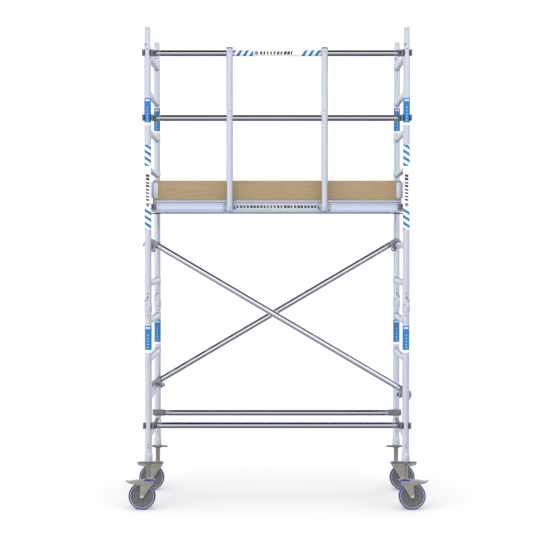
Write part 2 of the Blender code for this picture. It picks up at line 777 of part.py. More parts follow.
def main():
    clear_scene()
    aluminium = material("aluminium", (0.72, 0.75, 0.80), 0.35, 1.0)
    polished = material("drawn_aluminium", (0.66, 0.68, 0.72), 0.22, 1.0)
    zinc = material("zinc_plated_steel", (0.56, 0.54, 0.49), 0.45, 1.0)
    steel = material("dark_steel", (0.20, 0.21, 0.23), 0.40, 1.0)
    plywood = material("plywood", (0.52, 0.40, 0.25), 0.60, 0.0)
    rubber = material("blue_tyre", (0.03, 0.05, 0.45), 0.55, 0.0)
    ladder_frames(aluminium)
    frame_pins(steel)
    rails_and_braces(polished, steel)
    for name, x in (("stanchion_left", -STANCHION_X), ("stanchion_right", STANCHION_X)):
        stanchion(name, x, aluminium)
    platform_beams(aluminium)
    platform_ends(aluminium)
    deck(plywood)
    trapdoor(plywood)
    toe_boards(plywood)
    castors(zinc, rubber, zinc)


main()
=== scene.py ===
"""The looks of the mobile tower scaffold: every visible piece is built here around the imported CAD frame.

Metres, +Z up. X runs along the platform and -Y is the guarded front. Round and cast pieces are rebuilt
with fine meshes on the CAD's own axes and sizes, and every finish is a procedural material.
"""

import json
import math
import random

import bmesh
import bpy
from mathutils import Matrix, Vector

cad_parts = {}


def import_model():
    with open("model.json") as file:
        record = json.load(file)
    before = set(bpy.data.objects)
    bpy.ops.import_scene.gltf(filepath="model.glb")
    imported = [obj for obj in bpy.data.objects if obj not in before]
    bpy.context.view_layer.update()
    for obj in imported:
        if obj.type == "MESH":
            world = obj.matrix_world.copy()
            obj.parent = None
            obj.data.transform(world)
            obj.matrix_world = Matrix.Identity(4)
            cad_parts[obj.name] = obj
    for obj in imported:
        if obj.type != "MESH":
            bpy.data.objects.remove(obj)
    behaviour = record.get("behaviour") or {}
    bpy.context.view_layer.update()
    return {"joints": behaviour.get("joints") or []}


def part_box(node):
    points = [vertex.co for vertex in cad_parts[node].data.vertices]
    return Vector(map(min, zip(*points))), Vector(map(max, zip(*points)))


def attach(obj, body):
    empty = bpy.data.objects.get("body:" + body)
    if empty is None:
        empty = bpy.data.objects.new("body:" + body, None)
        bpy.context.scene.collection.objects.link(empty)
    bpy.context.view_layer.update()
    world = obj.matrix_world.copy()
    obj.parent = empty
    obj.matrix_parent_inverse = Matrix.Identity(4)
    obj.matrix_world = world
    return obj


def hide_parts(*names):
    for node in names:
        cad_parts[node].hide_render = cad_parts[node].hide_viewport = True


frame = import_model()
JOINTS = {joint["name"]: joint for joint in frame["joints"]}

ENDS = {"front": -1, "back": 1}
SIDES = {"left": -1, "right": 1}
CORNERS = [f"{end}_{side}" for end in ENDS for side in SIDES]

# Ladder frames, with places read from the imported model
POST_X, POST_Y, NUT_BOTTOM = JOINTS["nut_spin_back_right"]["pos_m"]
POST_R = 0.0255
POST_BORE = 0.023
SPIGOT_R = 0.0224
SPIGOT_BORE = 0.02
BELL_R = 0.0295
BELL_HEIGHT = 0.067
BELL_TAPER = 0.02
BELL_BORE = 0.025
SHOULDER_HEIGHT = 0.022
SPIGOT_LENGTH = 0.139
LOWER_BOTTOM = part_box("lower_frame_left")[0].z
LOWER_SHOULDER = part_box("lower_frame_left")[1].z - SPIGOT_LENGTH
UPPER_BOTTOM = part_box("upper_frame_left")[0].z
UPPER_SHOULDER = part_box("upper_frame_left")[1].z - SPIGOT_LENGTH
RUNG_R = 0.025
RUNG_SIDES = 72
RUNG_HOLLOW = 0.88
RIB_DEPTH = 0.00045
RUNG_PITCH = 0.28
FIRST_RUNG = 0.552
LOWER_RUNGS = 4
UPPER_RUNGS = 7
RUNG_HEIGHTS = [FIRST_RUNG + i * RUNG_PITCH for i in range(LOWER_RUNGS + UPPER_RUNGS)]
PIN_Z = LOWER_SHOULDER + 0.119
POST_SIDES = 48
HOLE_R = 0.0045
PLUG_R = 0.0044
WELD_R = 0.0024
WELD_RIPPLES = 21
POINTS_PER_RIPPLE = 4
UPPER_HOLES = (PIN_Z, 1.6, 3.39, 3.532)
POST_HOLES = {
    "lower": {"front": (0.483, 0.461, 1.437, PIN_Z), "back": (0.531, 0.466, 1.437, PIN_Z)},
    "upper": {"front": UPPER_HOLES, "back": UPPER_HOLES},
}

# Rails and braces
RAIL_R = 0.0225
RAIL_OFFSET = 0.033
GUARD_Y = -POST_Y + RAIL_OFFSET
RAIL_START = 0.052
RAIL_BORE = 0.019
RAIL_SIDES = 40
COLLAR_BORE = 0.02
SLEEVE_LENGTH = 0.038
SLEEVE_BORE = RAIL_R - 0.0022
JAW_R = 0.0265
JAW_HALF_HEIGHT = 0.0215
SADDLE_TOP = 0.0118
SADDLE_DEPTH = 0.03
LATCH_Y = -0.0215
RIVET_X = 0.074
BRACE_HIGH_Z = RUNG_HEIGHTS[5]
BRACE_LOW_Z = RUNG_HEIGHTS[1]

# Platform
BEAM_LOW, BEAM_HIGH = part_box("platform_beam_back")
DECK_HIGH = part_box("deck_panel")[1]
DECK_TOP = 2.28
DECK_BOTTOM = 2.268
REBATE = 0.001
REBATE_X = 0.876
HINGE = Vector(JOINTS["trapdoor_hinge"]["pos_m"])
HATCH_LENGTH = 0.6
HATCH_HALF_WIDTH = 0.21
PLATFORM_RUNG_Z = RUNG_HEIGHTS[6]
CHANNEL_LOW, CHANNEL_HIGH = 2.206, 2.2615
HOOK_PLACES = (-0.2, 0.2)

# Stanchions
STANCHION_X = 0.348
STANCHION_Y = -0.39
STANCHION_R = 0.025
STANCHION_BOLTS = (3.37, 2.936, 2.226)

# Castors; u is the distance outboard of the swivel axis
WHEEL_R = JOINTS["wheel_spin_front_left"]["pos_m"][2]
WHEEL_TRAIL = 0.049
WHEEL_SIDES = 96
CROWN_TOP = JOINTS["swivel_front_left"]["pos_m"][2]
CROWN_BOTTOM = CROWN_TOP - 0.005
FORK_INNER = 0.029
FORK_THICK = 0.004
SPINDLE_R = 0.0185
SPINDLE_SIDES = 28
SPINDLE_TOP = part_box("castor_leg_front_left")[1].z
THREAD_START = 0.236
THREAD_END = SPINDLE_TOP - 0.008
THREAD_LEAD = 0.008
THREAD_DEPTH = 0.002
ROWS_PER_LEAD = 8
WING_REACH = 0.078
PEDAL_PIVOT_U = 0.03
PEDAL_PIVOT_Z = JOINTS["brake_front_left"]["pos_m"][2]
PEDAL_START, PEDAL_LENGTH = -0.045, 0.2105

# Printed labels: places, and distances from a label's middle
SHEET_THICK = 0.00015
LABEL_LIFT = 0.0003
STRIPED_LABEL_Z = 2.38
STRIPE_PITCH = 0.048
MARK_PITCH = 0.025
EMBLEM_R = 0.015
EMBLEM_RING_R = 0.0085
EMBLEM_RING_HALF_WIDTH = 0.0012
BLUE_LABEL_HEIGHTS = {"upper": 2.9335, "lower": 1.263}
BLUE_LABEL_LENGTH = 0.197
STRIPED_LABEL_LENGTH = 0.62
RAIL_LABEL_LENGTH = 0.64
BAND_AT = 0.0825
DOT_R = 0.0042
DOT_PITCH = 0.0228
DOT_LOW, DOT_COUNT = -0.062, 5
FOOT_TOP = -0.0803

# The light tent: brightness to the left and right, against 1 in front and behind, its lean to the left,
# and its brightness by height, from straight down at 0 to straight up at 1
SIDE_LIGHT = 0.9
TENT_LEAN = math.radians(12)
TENT_STRENGTH = 1.2
TENT_STOPS = [
    (0.0, 0.1), (0.1, 0.15), (0.22, 0.4), (0.38, 0.66), (0.44, 0.69), (0.5, 0.8), (0.57, 0.96),
    (0.74, 0.98), (0.8, 0.02), (1.0, 0.01),
]

# Lamps and camera
SUN_POWER = 2.9
FRONT_LAMP_POWER = 76
FRONT_LAMP_PLACE, FRONT_LAMP_TARGET = (-3.0, -8.0, 5.0), (0, 0, 1.6)
CAMERA_PLACE = (-0.0155, -9.825, 2.0)
CAMERA_TILT = math.radians(90 - 1.606)
CAMERA_LENS = 84.0

SMOOTH_ANGLE = 32
ABOUT_X = Matrix.Rotation(math.pi / 2, 4, "X")
ABOUT_Y = Matrix.Rotation(math.pi / 2, 4, "Y")
RAIL_LINE = Matrix.Translation((RAIL_START, RAIL_OFFSET, 0)) @ ABOUT_Y


# Meshes


def as_mesh(shape, smooth_angle=SMOOTH_ANGLE):
    """A bmesh as a mesh, shaded smooth up to an angle."""
    mesh = bpy.data.meshes.new("mesh")
    shape.to_mesh(mesh)
    shape.free()
    mesh.shade_smooth()
    mesh.set_sharp_from_angle(angle=math.radians(smooth_angle))
    return mesh


def finished(shape, smooth_angle=SMOOTH_ANGLE):
    """A bmesh as a mesh, welded, with its faces turned outwards."""
    bmesh.ops.remove_doubles(shape, verts=shape.verts, dist=0.000002)
    bmesh.ops.recalc_face_normals(shape, faces=shape.faces)
    return as_mesh(shape, smooth_angle)


def moved(mesh, place):
    copy = mesh.copy()
    copy.transform(place)
    return copy


def joined(meshes, places=None):
    """Several meshes as one, each moved by its placing matrix."""
    shape = bmesh.new()
    for number, mesh in enumerate(meshes):
        copy = moved(mesh, places[number] if places else Matrix())
        shape.from_mesh(copy)
        bpy.data.meshes.remove(copy)
    return as_mesh(shape)


def at(x, y, z):
    return Matrix.Translation((x, y, z))


def middle(node, axis):
    """Where the middle of a CAD node's box is along one axis."""
    low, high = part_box(node)
    return (getattr(low, axis) + getattr(high, axis)) / 2


def frame_matrix(origin, x_axis, y_axis):
    """Local x and y axes and their cross product as a placing matrix."""
    x_axis, y_axis = Vector(x_axis).normalized(), Vector(y_axis).normalized()
    turn = Matrix((x_axis, y_axis, x_axis.cross(y_axis))).transposed().to_4x4()
    return Matrix.Translation(origin) @ turn


def full_turn(steps):
    return [2 * math.pi * step / steps for step in range(steps)]


def bridge(shape, pairs):
    """Faces between the two rings of points in each pair."""
    for upper, lower in pairs:
        for i in range(len(upper)):
            j = (i + 1) % len(upper)
            corners = list(dict.fromkeys((upper[i], upper[j], lower[j], lower[i])))
            if len(corners) > 2:
                shape.faces.new(corners)


def lathe(profile, sides=POST_SIDES, place=Matrix()):
    """A profile of (radius, height) points turned about Z, closed on itself unless it starts on the axis."""
    shape = bmesh.new()
    rings = []
    for radius, height in profile:
        if radius == 0:
            rings.append([shape.verts.new(place @ Vector((0, 0, height)))] * sides)
            continue
        points = [(radius * math.cos(turn), radius * math.sin(turn), height) for turn in full_turn(sides)]
        rings.append([shape.verts.new(place @ Vector(point)) for point in points])
    pairs = list(zip(rings, rings[1:]))
    if profile[0][0] > 0:
        pairs.append((rings[-1], rings[0]))
    bridge(shape, pairs)
    return finished(shape)


def along(start, end):
    """A placing matrix at start whose Z runs towards end, and the distance between them."""
    start, end = Vector(start), Vector(end)
    way = end - start
    return Matrix.Translation(start) @ way.to_track_quat("Z", "Y").to_matrix().to_4x4(), way.length


def rounded_rod(start, end, radius, bevel=0.0008, sides=24):
    """A solid rod with softened ends."""
    place, length = along(start, end)
    profile = [(0, length), (radius - bevel, length), (radius, length - bevel), (radius, bevel)]
    profile += [(radius - bevel, 0), (0, 0)]
    return lathe(profile, sides, place)


def cross_rod(x, z, near, far, radius, bevel=0.0008, sides=24):
    """A rounded rod that runs along Y."""
    return rounded_rod((x, near, z), (x, far, z), radius, bevel, sides)


def hollow_tube(start, end, radius, bore, sides=RAIL_SIDES):
    place, length = along(start, end)
    soft = 0.0006
    profile = [(bore, length), (radius - soft, length), (radius, length - soft), (radius, soft)]
    profile += [(radius - soft, 0), (bore, 0)]
    return lathe(profile, sides, place)


def slab(one, other, bevel=0.001, segments=2):
    """A box between two opposite corners, with rounded edges."""
    low = Vector([min(pair) for pair in zip(one, other)])
    high = Vector([max(pair) for pair in zip(one, other)])
    shape = bmesh.new()
    place = Matrix.Translation((low + high) / 2) @ Matrix.Diagonal((*(high - low), 1))
    bmesh.ops.create_cube(shape, size=1, matrix=place)
    edges = shape.edges[:]
    bmesh.ops.bevel(
        shape, geom=edges, offset=bevel, segments=segments, affect="EDGES", profile=0.5, clamp_overlap=True
    )
    return finished(shape, 40)


def arc(radius, start, end, steps, centre=(0, 0)):
    """Points along an arc between two angles in degrees."""
    turns = [math.radians(start + (end - start) * i / steps) for i in range(steps + 1)]
    return [(centre[0] + radius * math.cos(turn), centre[1] + radius * math.sin(turn)) for turn in turns]


def rectangle(low_x, low_y, high_x, high_y):
    return [(low_x, low_y), (high_x, low_y), (high_x, high_y), (low_x, high_y)]


def rounded(corners, radius, steps=4):
    """A closed outline of corners with each one rounded by a short curve."""
    points = []
    for i, corner in enumerate(corners):
        here = Vector(corner)
        before = Vector(corners[i - 1]) - here
        after = Vector(corners[(i + 1) % len(corners)]) - here
        cut = min(radius, before.length * 0.45, after.length * 0.45)
        start, end = here + before.normalized() * cut, here + after.normalized() * cut
        for step in range(steps + 1):
            t = step / steps
            points.append(tuple(start * (1 - t) ** 2 + here * 2 * t * (1 - t) + end * t * t))
    return points


def mirrored(points):
    """Points taken backwards, with the second part of each turned negative."""
    return [(first, -second) for first, second in reversed(points)]


def curve_mesh(curve, place):
    """The mesh of a curve, welded, with the curve removed."""
    obj = bpy.data.objects.new("curve", curve)
    bpy.context.scene.collection.objects.link(obj)
    graph = bpy.context.evaluated_depsgraph_get()
    mesh = bpy.data.meshes.new_from_object(obj.evaluated_get(graph))
    bpy.data.objects.remove(obj)
    bpy.data.curves.remove(curve)
    shape = bmesh.new()
    shape.from_mesh(mesh)
    bpy.data.meshes.remove(mesh)
    mesh = finished(shape)
    mesh.transform(place)
    return mesh


def plate(outline, thickness, place=Matrix(), bevel=0.0008, holes=()):
    """A flat outline in local XY with rounded edges and holes, extruded half its thickness each way."""
    curve = bpy.data.curves.new("outline", "CURVE")
    curve.dimensions = "2D"
    curve.fill_mode = "BOTH"
    curve.extrude = thickness / 2 - bevel
    curve.bevel_depth = bevel
    curve.bevel_resolution = 2
    curve.offset = -bevel
    for loop in (outline, *holes):
        spline = curve.splines.new("POLY")
        spline.points.add(len(loop) - 1)
        for point, (x, y) in zip(spline.points, loop):
            point.co = (x, y, 0, 1)
        spline.use_cyclic_u = True
    return curve_mesh(curve, place)


def side_plate(outline, y, thickness, bevel=0.0008, holes=()):
    """An outline given as (x, z), standing across Y."""
    return plate(outline, thickness, frame_matrix((0, y, 0), (1, 0, 0), (0, 0, 1)), bevel, holes)


def wire(points, radius, cyclic=False, resolution=3, radii=None):
    """A round wire through points. Each point can have its own share of the radius."""
    curve = bpy.data.curves.new("wire", "CURVE")
    curve.dimensions = "3D"
    curve.bevel_depth = radius
    curve.bevel_resolution = resolution
    curve.use_fill_caps = True
    spline = curve.splines.new("POLY")
    spline.points.add(len(points) - 1)
    for point, place, share in zip(spline.points, points, radii or [1] * len(points)):
        point.co = (*place, 1)
        point.radius = share
    spline.use_cyclic_u = cyclic
    return curve_mesh(curve, Matrix())


def smooth_path(points, steps=6):
    """A Catmull-Rom curve through the points."""
    points = [Vector(point) for point in points]
    padded = [2 * points[0] - points[1], *points, 2 * points[-1] - points[-2]]
    path = []
    for a, b, c, d in zip(padded, padded[1:], padded[2:], padded[3:]):
        for step in range(steps):
            t = step / steps
            square = (2 * a - 5 * b + 4 * c - d) * t * t
            cube = (3 * b - a - 3 * c + d) * t**3
            path.append(0.5 * (2 * b + (c - a) * t + square + cube))
    return [*path, points[-1]]


def subtracted(mesh, cutters):
    """The mesh with every cutter taken away by one exact Boolean."""
    made = [bpy.data.objects.new("solid", mesh)]
    made += [bpy.data.objects.new("tool", cutter) for cutter in cutters]
    group = bpy.data.collections.new("tools")
    for obj in made:
        bpy.context.scene.collection.objects.link(obj)
    for obj in made[1:]:
        group.objects.link(obj)
    modifier = made[0].modifiers.new("cut", "BOOLEAN")
    modifier.operation = "DIFFERENCE"
    modifier.solver = "EXACT"
    modifier.operand_type = "COLLECTION"
    modifier.collection = group
    graph = bpy.context.evaluated_depsgraph_get()
    result = bpy.data.meshes.new_from_object(made[0].evaluated_get(graph))
    for obj in made:
        bpy.data.objects.remove(obj)
    bpy.data.collections.remove(group)
    result.shade_smooth()
    result.set_sharp_from_angle(angle=math.radians(SMOOTH_ANGLE))
    return result


def piece(name, mesh, finish, slot, stands_for=None, body="tower", place=None):
    """One visible piece: its mesh, its finishes, the CAD node that it stands for and its body. Its slot is
    not used.
    """
    mesh.materials.clear()
    for each in finish if isinstance(finish, list) else [finish]:
        mesh.materials.append(each)
    mesh.name = name
    obj = bpy.data.objects.new(name, mesh)
    if place is not None:
        obj.matrix_world = place
    bpy.context.scene.collection.objects.link(obj)
    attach(obj, body)
    if stands_for:
        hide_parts(stands_for)
    return obj


# Materials


def scaled(colour, factor):
    return tuple(min(1.0, part * factor) for part in colour)


def add_node(tree, kind, inputs=None, **settings):
    """A node with its settings made, and each of its inputs set to a value or linked to a socket."""
    made = tree.nodes.new(kind)
    for name, value in settings.items():
        setattr(made, name, value)
    for name, value in (inputs or {}).items():
        if isinstance(value, bpy.types.NodeSocket):
            tree.links.new(value, made.inputs[name])
        else:
            made.inputs[name].default_value = value
    return made


class Finish:
    """A material with its node tree and short ways to add nodes to it."""

    def __init__(self, name, colour, roughness, metallic=0.0, **sockets):
        self.material = bpy.data.materials.new(name)
        self.material.use_nodes = True
        self.tree = self.material.node_tree
        self.shader = self.tree.nodes["Principled BSDF"]
        values = {"Base Color": (*colour, 1), "Roughness": roughness, "Metallic": metallic}
        values.update({socket.replace("_", " "): value for socket, value in sockets.items()})
        for socket, value in values.items():
            self.shader.inputs[socket].default_value = value

    def drive(self, socket, output):
        self.tree.links.new(output, self.shader.inputs[socket])

    def node(self, kind, inputs=None, **settings):
        return add_node(self.tree, kind, inputs, **settings)

    def coordinates(self, kind="Object", scale=(1, 1, 1), turn=0.0):
        source = self.node("ShaderNodeTexCoord").outputs[kind]
        inputs = {"Vector": source, "Scale": scale, "Rotation": (0, 0, turn)}
        return self.node("ShaderNodeMapping", inputs).outputs["Vector"]

    def parts(self, vector):
        return self.node("ShaderNodeSeparateXYZ", {"Vector": vector}).outputs

    def noise(self, vector, scale, detail=3.0, roughness=0.5):
        inputs = {"Vector": vector, "Scale": scale, "Detail": detail, "Roughness": roughness}
        return self.node("ShaderNodeTexNoise", inputs).outputs["Fac"]

    def math(self, operation, a, b=0.0):
        return self.node("ShaderNodeMath", {0: a, 1: b}, operation=operation).outputs[0]

    def plus(self, a, b):
        return self.math("ADD", a, b)

    def minus(self, a, b):
        return self.math("SUBTRACT", a, b)

    def times(self, a, b):
        return self.math("MULTIPLY", a, b)

    def below(self, a, b):
        return self.math("LESS_THAN", a, b)

    def size_of(self, a):
        return self.math("ABSOLUTE", a)

    def fraction(self, a, pitch):
        """How far a is through its own step of the pitch, from 0 to 1."""
        return self.math("FRACT", self.times(a, 1 / pitch))

    def rescale(self, value, low, high, from_low=0.0, from_high=1.0):
        inputs = {"Value": value, "From Min": from_low, "From Max": from_high, "To Min": low, "To Max": high}
        return self.node("ShaderNodeMapRange", inputs).outputs["Result"]

    def mix(self, factor, a, b):
        a, b = ((*colour, 1) if isinstance(colour, tuple) else colour for colour in (a, b))
        return self.node("ShaderNodeMix", {0: factor, 6: a, 7: b}, data_type="RGBA").outputs[2]

    def bump(self, height, strength, distance):
        inputs = {"Height": height, "Strength": strength, "Distance": distance}
        self.drive("Normal", self.node("ShaderNodeBump", inputs).outputs["Normal"])


def stretched(grain, lengthwise, across):
    """A texture scale that is drawn out along the grain axis."""
    return tuple(lengthwise if axis == grain else across for axis in "XYZ")


def drawn_metal(name, colour, roughness, grain, streak=0.06, spread=0.05):
    """Extruded or drawn aluminium: fine streaks along the grain axis, and soft clouds of handling marks."""
    finish = Finish(name, colour, roughness, 1.0)
    streaks = finish.noise(finish.coordinates(scale=stretched(grain, 4.0, 700.0)), 1.0, 4.0, 0.6)
    clouds = finish.noise(finish.coordinates(), 9.0, 5.0, 0.62)
    wear = finish.plus(finish.times(streaks, 0.6), finish.times(clouds, 0.4))
    dull, bright = scaled(colour, 1 - streak), scaled(colour, 1 + streak)
    finish.drive("Base Color", finish.mix(finish.rescale(wear, 0, 1, 0.35, 0.65), dull, bright))
    finish.drive("Roughness", finish.rescale(wear, roughness - spread, roughness + spread, 0.35, 0.65))
    finish.bump(streaks, 0.12, 0.00015)
    return finish.material


def cast_metal(name, colour, roughness, grain_size=900.0, depth=0.0004):
    """A sand- or die-cast surface: fine pitting, and clouds of darker and lighter metal."""
    finish = Finish(name, colour, roughness, 1.0)
    vector = finish.coordinates()
    pits = finish.noise(vector, grain_size, 3.0, 0.6)
    clouds = finish.noise(vector, 60.0, 4.0, 0.6)
    finish.drive("Base Color", finish.mix(clouds, scaled(colour, 0.78), scaled(colour, 1.18)))
    finish.drive("Roughness", finish.rescale(clouds, roughness - 0.1, roughness + 0.1))
    finish.bump(pits, 0.35, depth)
    return finish.material


def zinc_metal(name, colour, roughness):
    """Zinc-plated steel: a faint crystal pattern with a warm and a cool tone."""
    finish = Finish(name, colour, roughness, 1.0)
    vector = finish.coordinates()
    cells = finish.node("ShaderNodeTexVoronoi", {"Vector": vector, "Scale": 220.0, "Randomness": 1.0})
    crystal = finish.noise(cells.outputs["Position"], 30.0, 1.0)
    clouds = finish.noise(vector, 24.0, 5.0, 0.6)
    red, green, blue = colour
    tone = finish.mix(clouds, (red * 0.86, green * 0.9, blue), (red * 1.08, green, blue * 0.86))
    finish.drive("Base Color", finish.mix(finish.rescale(crystal, 0, 0.16), tone, (1.0, 1.0, 1.0)))
    finish.drive("Roughness", finish.rescale(clouds, roughness - 0.08, roughness + 0.1, 0.3, 0.7))
    finish.bump(finish.noise(vector, 1200.0, 2.0), 0.12, 0.0002)
    return finish.material


def moulded(name, colour, roughness, texture=1500.0, **sockets):
    """Moulded plastic: spark-eroded grain, and slightly paler where it has rubbed."""
    finish = Finish(name, colour, roughness, 0.0, **sockets)
    vector = finish.coordinates()
    clouds = finish.noise(vector, 45.0, 4.0, 0.6)
    finish.drive("Base Color", finish.mix(clouds, scaled(colour, 0.82), scaled(colour, 1.22)))
    finish.drive("Roughness", finish.rescale(clouds, roughness - 0.07, roughness + 0.07))
    finish.bump(finish.noise(vector, texture, 2.0), 0.25, 0.00025)
    return finish.material


def board_face(name, grain, light, dark):
    """The face of plywood, with long grain along one axis, growth figure and a few darker streaks."""
    finish = Finish(name, light, 0.55)
    figure = finish.noise(finish.coordinates(scale=stretched(grain, 0.9, 30.0)), 1.3, 5.0, 0.55)
    fine = finish.noise(finish.coordinates(scale=stretched(grain, 9.0, 420.0)), 1.0, 3.0, 0.6)
    rings = finish.size_of(finish.minus(finish.math("FRACT", finish.times(figure, 9.0)), 0.5))
    streaks = finish.plus(finish.times(rings, 0.9), finish.times(fine, 0.7))
    finish.drive("Base Color", finish.mix(finish.rescale(streaks, 0, 1, 0.2, 0.95), dark, light))
    finish.drive("Roughness", finish.rescale(fine, 0.46, 0.66))
    finish.bump(fine, 0.25, 0.0003)
    return finish.material


def board_edge(name, axis, origin, ply, light, dark):
    """The edge of plywood: plies in turn light and dark through the thickness axis."""
    finish = Finish(name, light, 0.7)
    layer = finish.math("DIVIDE", finish.minus(finish.parts(finish.coordinates())[axis], origin), 2 * ply)
    band = finish.math("GREATER_THAN", finish.math("FRACT", layer), 0.5)
    fibres = finish.noise(finish.coordinates(scale=(160.0, 160.0, 160.0)), 4.0, 4.0, 0.7)
    tone = finish.mix(band, light, dark)
    finish.drive("Base Color", finish.mix(finish.rescale(fibres, 0.0, 0.5), tone, scaled(dark, 0.6)))
    finish.bump(fibres, 0.4, 0.0004)
    return finish.material


def deck_film():
    """Dark phenolic film with a pressed wire-mesh pattern against slipping."""
    base, worn_through, mesh_pitch = (0.105, 0.06, 0.036), (0.2, 0.135, 0.09), 0.0065
    finish = Finish("deck_film", base, 0.45, Coat_Weight=0.15)
    place = finish.parts(finish.coordinates(turn=math.radians(45)))
    lines = [finish.size_of(finish.minus(finish.fraction(place[axis], mesh_pitch), 0.5)) for axis in "XY"]
    groove = finish.rescale(finish.math("MAXIMUM", *lines), 0, 1, 0.36, 0.5)
    scuffs = finish.noise(finish.coordinates(scale=(1.0, 4.0, 4.0)), 6.0, 6.0, 0.7)
    worn = finish.mix(finish.rescale(scuffs, 0, 0.8, 0.5, 0.75), base, worn_through)
    finish.drive("Base Color", finish.mix(finish.times(groove, 0.5), worn, scaled(base, 0.4)))
    finish.drive("Roughness", finish.rescale(scuffs, 0.36, 0.62, 0.3, 0.7))
    finish.bump(groove, 0.5, -0.0006)
    return finish.material


def printed(name, ground, stripe_zone, mark_half_width, mark_zone, emblem_at=None):
    """A striped label whose UV is in metres from its middle: slanting stripes at both ends, plain blocks
    between them and, if emblem_at is given, a disc with a plain ring in it at that distance along it."""
    finish = Finish(name, ground, 0.32, Coat_Weight=0.3)
    place = finish.parts(finish.coordinates("UV"))
    across, lengthwise = place["X"], place["Y"]
    away = finish.size_of(lengthwise)
    slant = finish.plus(lengthwise, finish.times(across, 0.6))
    stripe = finish.below(finish.fraction(slant, STRIPE_PITCH), 0.5)
    stripe = finish.times(stripe, finish.math("GREATER_THAN", away, stripe_zone))
    step = finish.times(finish.plus(lengthwise, finish.times(across, 0.25)), 1 / MARK_PITCH)
    cell = finish.math("FLOOR", step)
    chance = finish.node("ShaderNodeTexWhiteNoise", {"W": cell}, noise_dimensions="1D").outputs["Value"]
    block = finish.below(finish.math("FRACT", step), finish.rescale(chance, 0.45, 0.84))
    block = finish.times(block, finish.below(finish.size_of(across), mark_half_width))
    block = finish.times(block, finish.below(away, mark_zone))
    wear = finish.noise(finish.coordinates("UV"), 90.0, 5.0, 0.7)
    paper = finish.mix(finish.rescale(wear, 0, 0.12), ground, scaled(ground, 0.7))
    inked = finish.mix(block, finish.mix(stripe, paper, LABEL_BLUE), INK)
    if emblem_at is not None:
        squares = [finish.times(part, part) for part in (across, finish.minus(lengthwise, emblem_at))]
        distance = finish.math("SQRT", finish.plus(*squares))
        disc = finish.below(distance, EMBLEM_R)
        ring = finish.math("COMPARE", distance, EMBLEM_RING_R)
        ring.node.inputs[2].default_value = EMBLEM_RING_HALF_WIDTH
        inked = finish.mix(disc, inked, EMBLEM_BLUE)
        inked = finish.mix(finish.times(disc, ring), inked, ground)
    finish.drive("Base Color", inked)
    finish.drive("Roughness", finish.rescale(wear, 0.26, 0.42))
    finish.bump(wear, 0.05, 0.0001)
    return finish.material


def data_label(name, colour):
    """A blue label whose UV is in metres from its middle: a marked white band near its top, pale dots, and
    a white foot."""
    finish = Finish(name, colour, 0.35, Coat_Weight=0.3)
    place = finish.parts(finish.coordinates("UV"))
    across, lengthwise = place["X"], place["Y"]
    band_half_height, band_half_width = 0.0055, 0.017
    bar_pitch, bar_half_height, bar_reach = 0.0048, 0.0028, 0.012
    off_centre, off_band = finish.size_of(across), finish.size_of(finish.minus(lengthwise, BAND_AT))
    band = finish.times(finish.below(off_band, band_half_height), finish.below(off_centre, band_half_width))
    first_row = DOT_LOW - DOT_PITCH / 2
    row = finish.minus(finish.fraction(finish.minus(lengthwise, first_row), DOT_PITCH), 0.5)
    row = finish.times(row, DOT_PITCH)
    dot = finish.below(finish.plus(finish.times(row, row), finish.times(across, across)), DOT_R**2)
    dot = finish.times(dot, finish.below(lengthwise, first_row + DOT_COUNT * DOT_PITCH))
    foot = finish.below(lengthwise, FOOT_TOP)
    pale = finish.math("MAXIMUM", band, finish.math("MAXIMUM", finish.times(dot, 0.6), foot))
    bar = finish.below(finish.fraction(across, bar_pitch), 0.5)
    bar = finish.times(bar, finish.below(off_band, bar_half_height))
    bar = finish.times(bar, finish.below(off_centre, bar_reach))
    wear = finish.noise(finish.coordinates("UV"), 80.0, 5.0, 0.7)
    shade = finish.mix(wear, scaled(colour, 0.85), scaled(colour, 1.1))
    marked = finish.mix(finish.times(bar, 0.8), finish.mix(pale, shade, WHITE), scaled(colour, 0.5))
    finish.drive("Base Color", marked)
    finish.drive("Roughness", finish.rescale(wear, 0.28, 0.45))
    finish.bump(wear, 0.05, 0.0001)
    return finish.material


ALUMINIUM = (0.7, 0.745, 0.845)
# The rungs' tone is the posts' aluminium painted darker: painted shade, as the rungs are seen from below. The
# platform's end channels use it too.
SHADED_RUNG_ALUMINIUM = (0.6, 0.635, 0.715)
TUBE = {
    "Y": drawn_metal("aluminium_rung_tube_painted_shade", SHADED_RUNG_ALUMINIUM, 0.34, "Y"),
    "Z": drawn_metal("aluminium_post_tube", ALUMINIUM, 0.34, "Z"),
}
RAIL_FINISH = drawn_metal("bright_drawn_tube", (0.6, 0.63, 0.74), 0.1, "X", 0.05, 0.03)
# The braces' tube is the rails' drawn tube painted lighter: painted light, for the highlights along them.
LIT_BRACE_FINISH = drawn_metal("drawn_brace_tube_painted_light", (0.8, 0.83, 0.92), 0.12, "X", 0.05, 0.03)
BEAM_FINISH = drawn_metal("extruded_beam", (0.68, 0.75, 0.9), 0.38, "X", 0.04)
WELD = cast_metal("weld_bead", (0.62, 0.64, 0.68), 0.42, 500.0, 0.0006)
CAST = cast_metal("cast_aluminium", (0.26, 0.27, 0.3), 0.42)
LIGHT_CAST = cast_metal("light_cast_aluminium", (0.52, 0.54, 0.6), 0.4)
# The brace claws are the rail claws' cast painted lighter: painted light, for the highlights on their bodies.
LIT_BRACE_CAST = cast_metal("brace_cast_aluminium_painted_light", (0.33, 0.345, 0.39), 0.34)
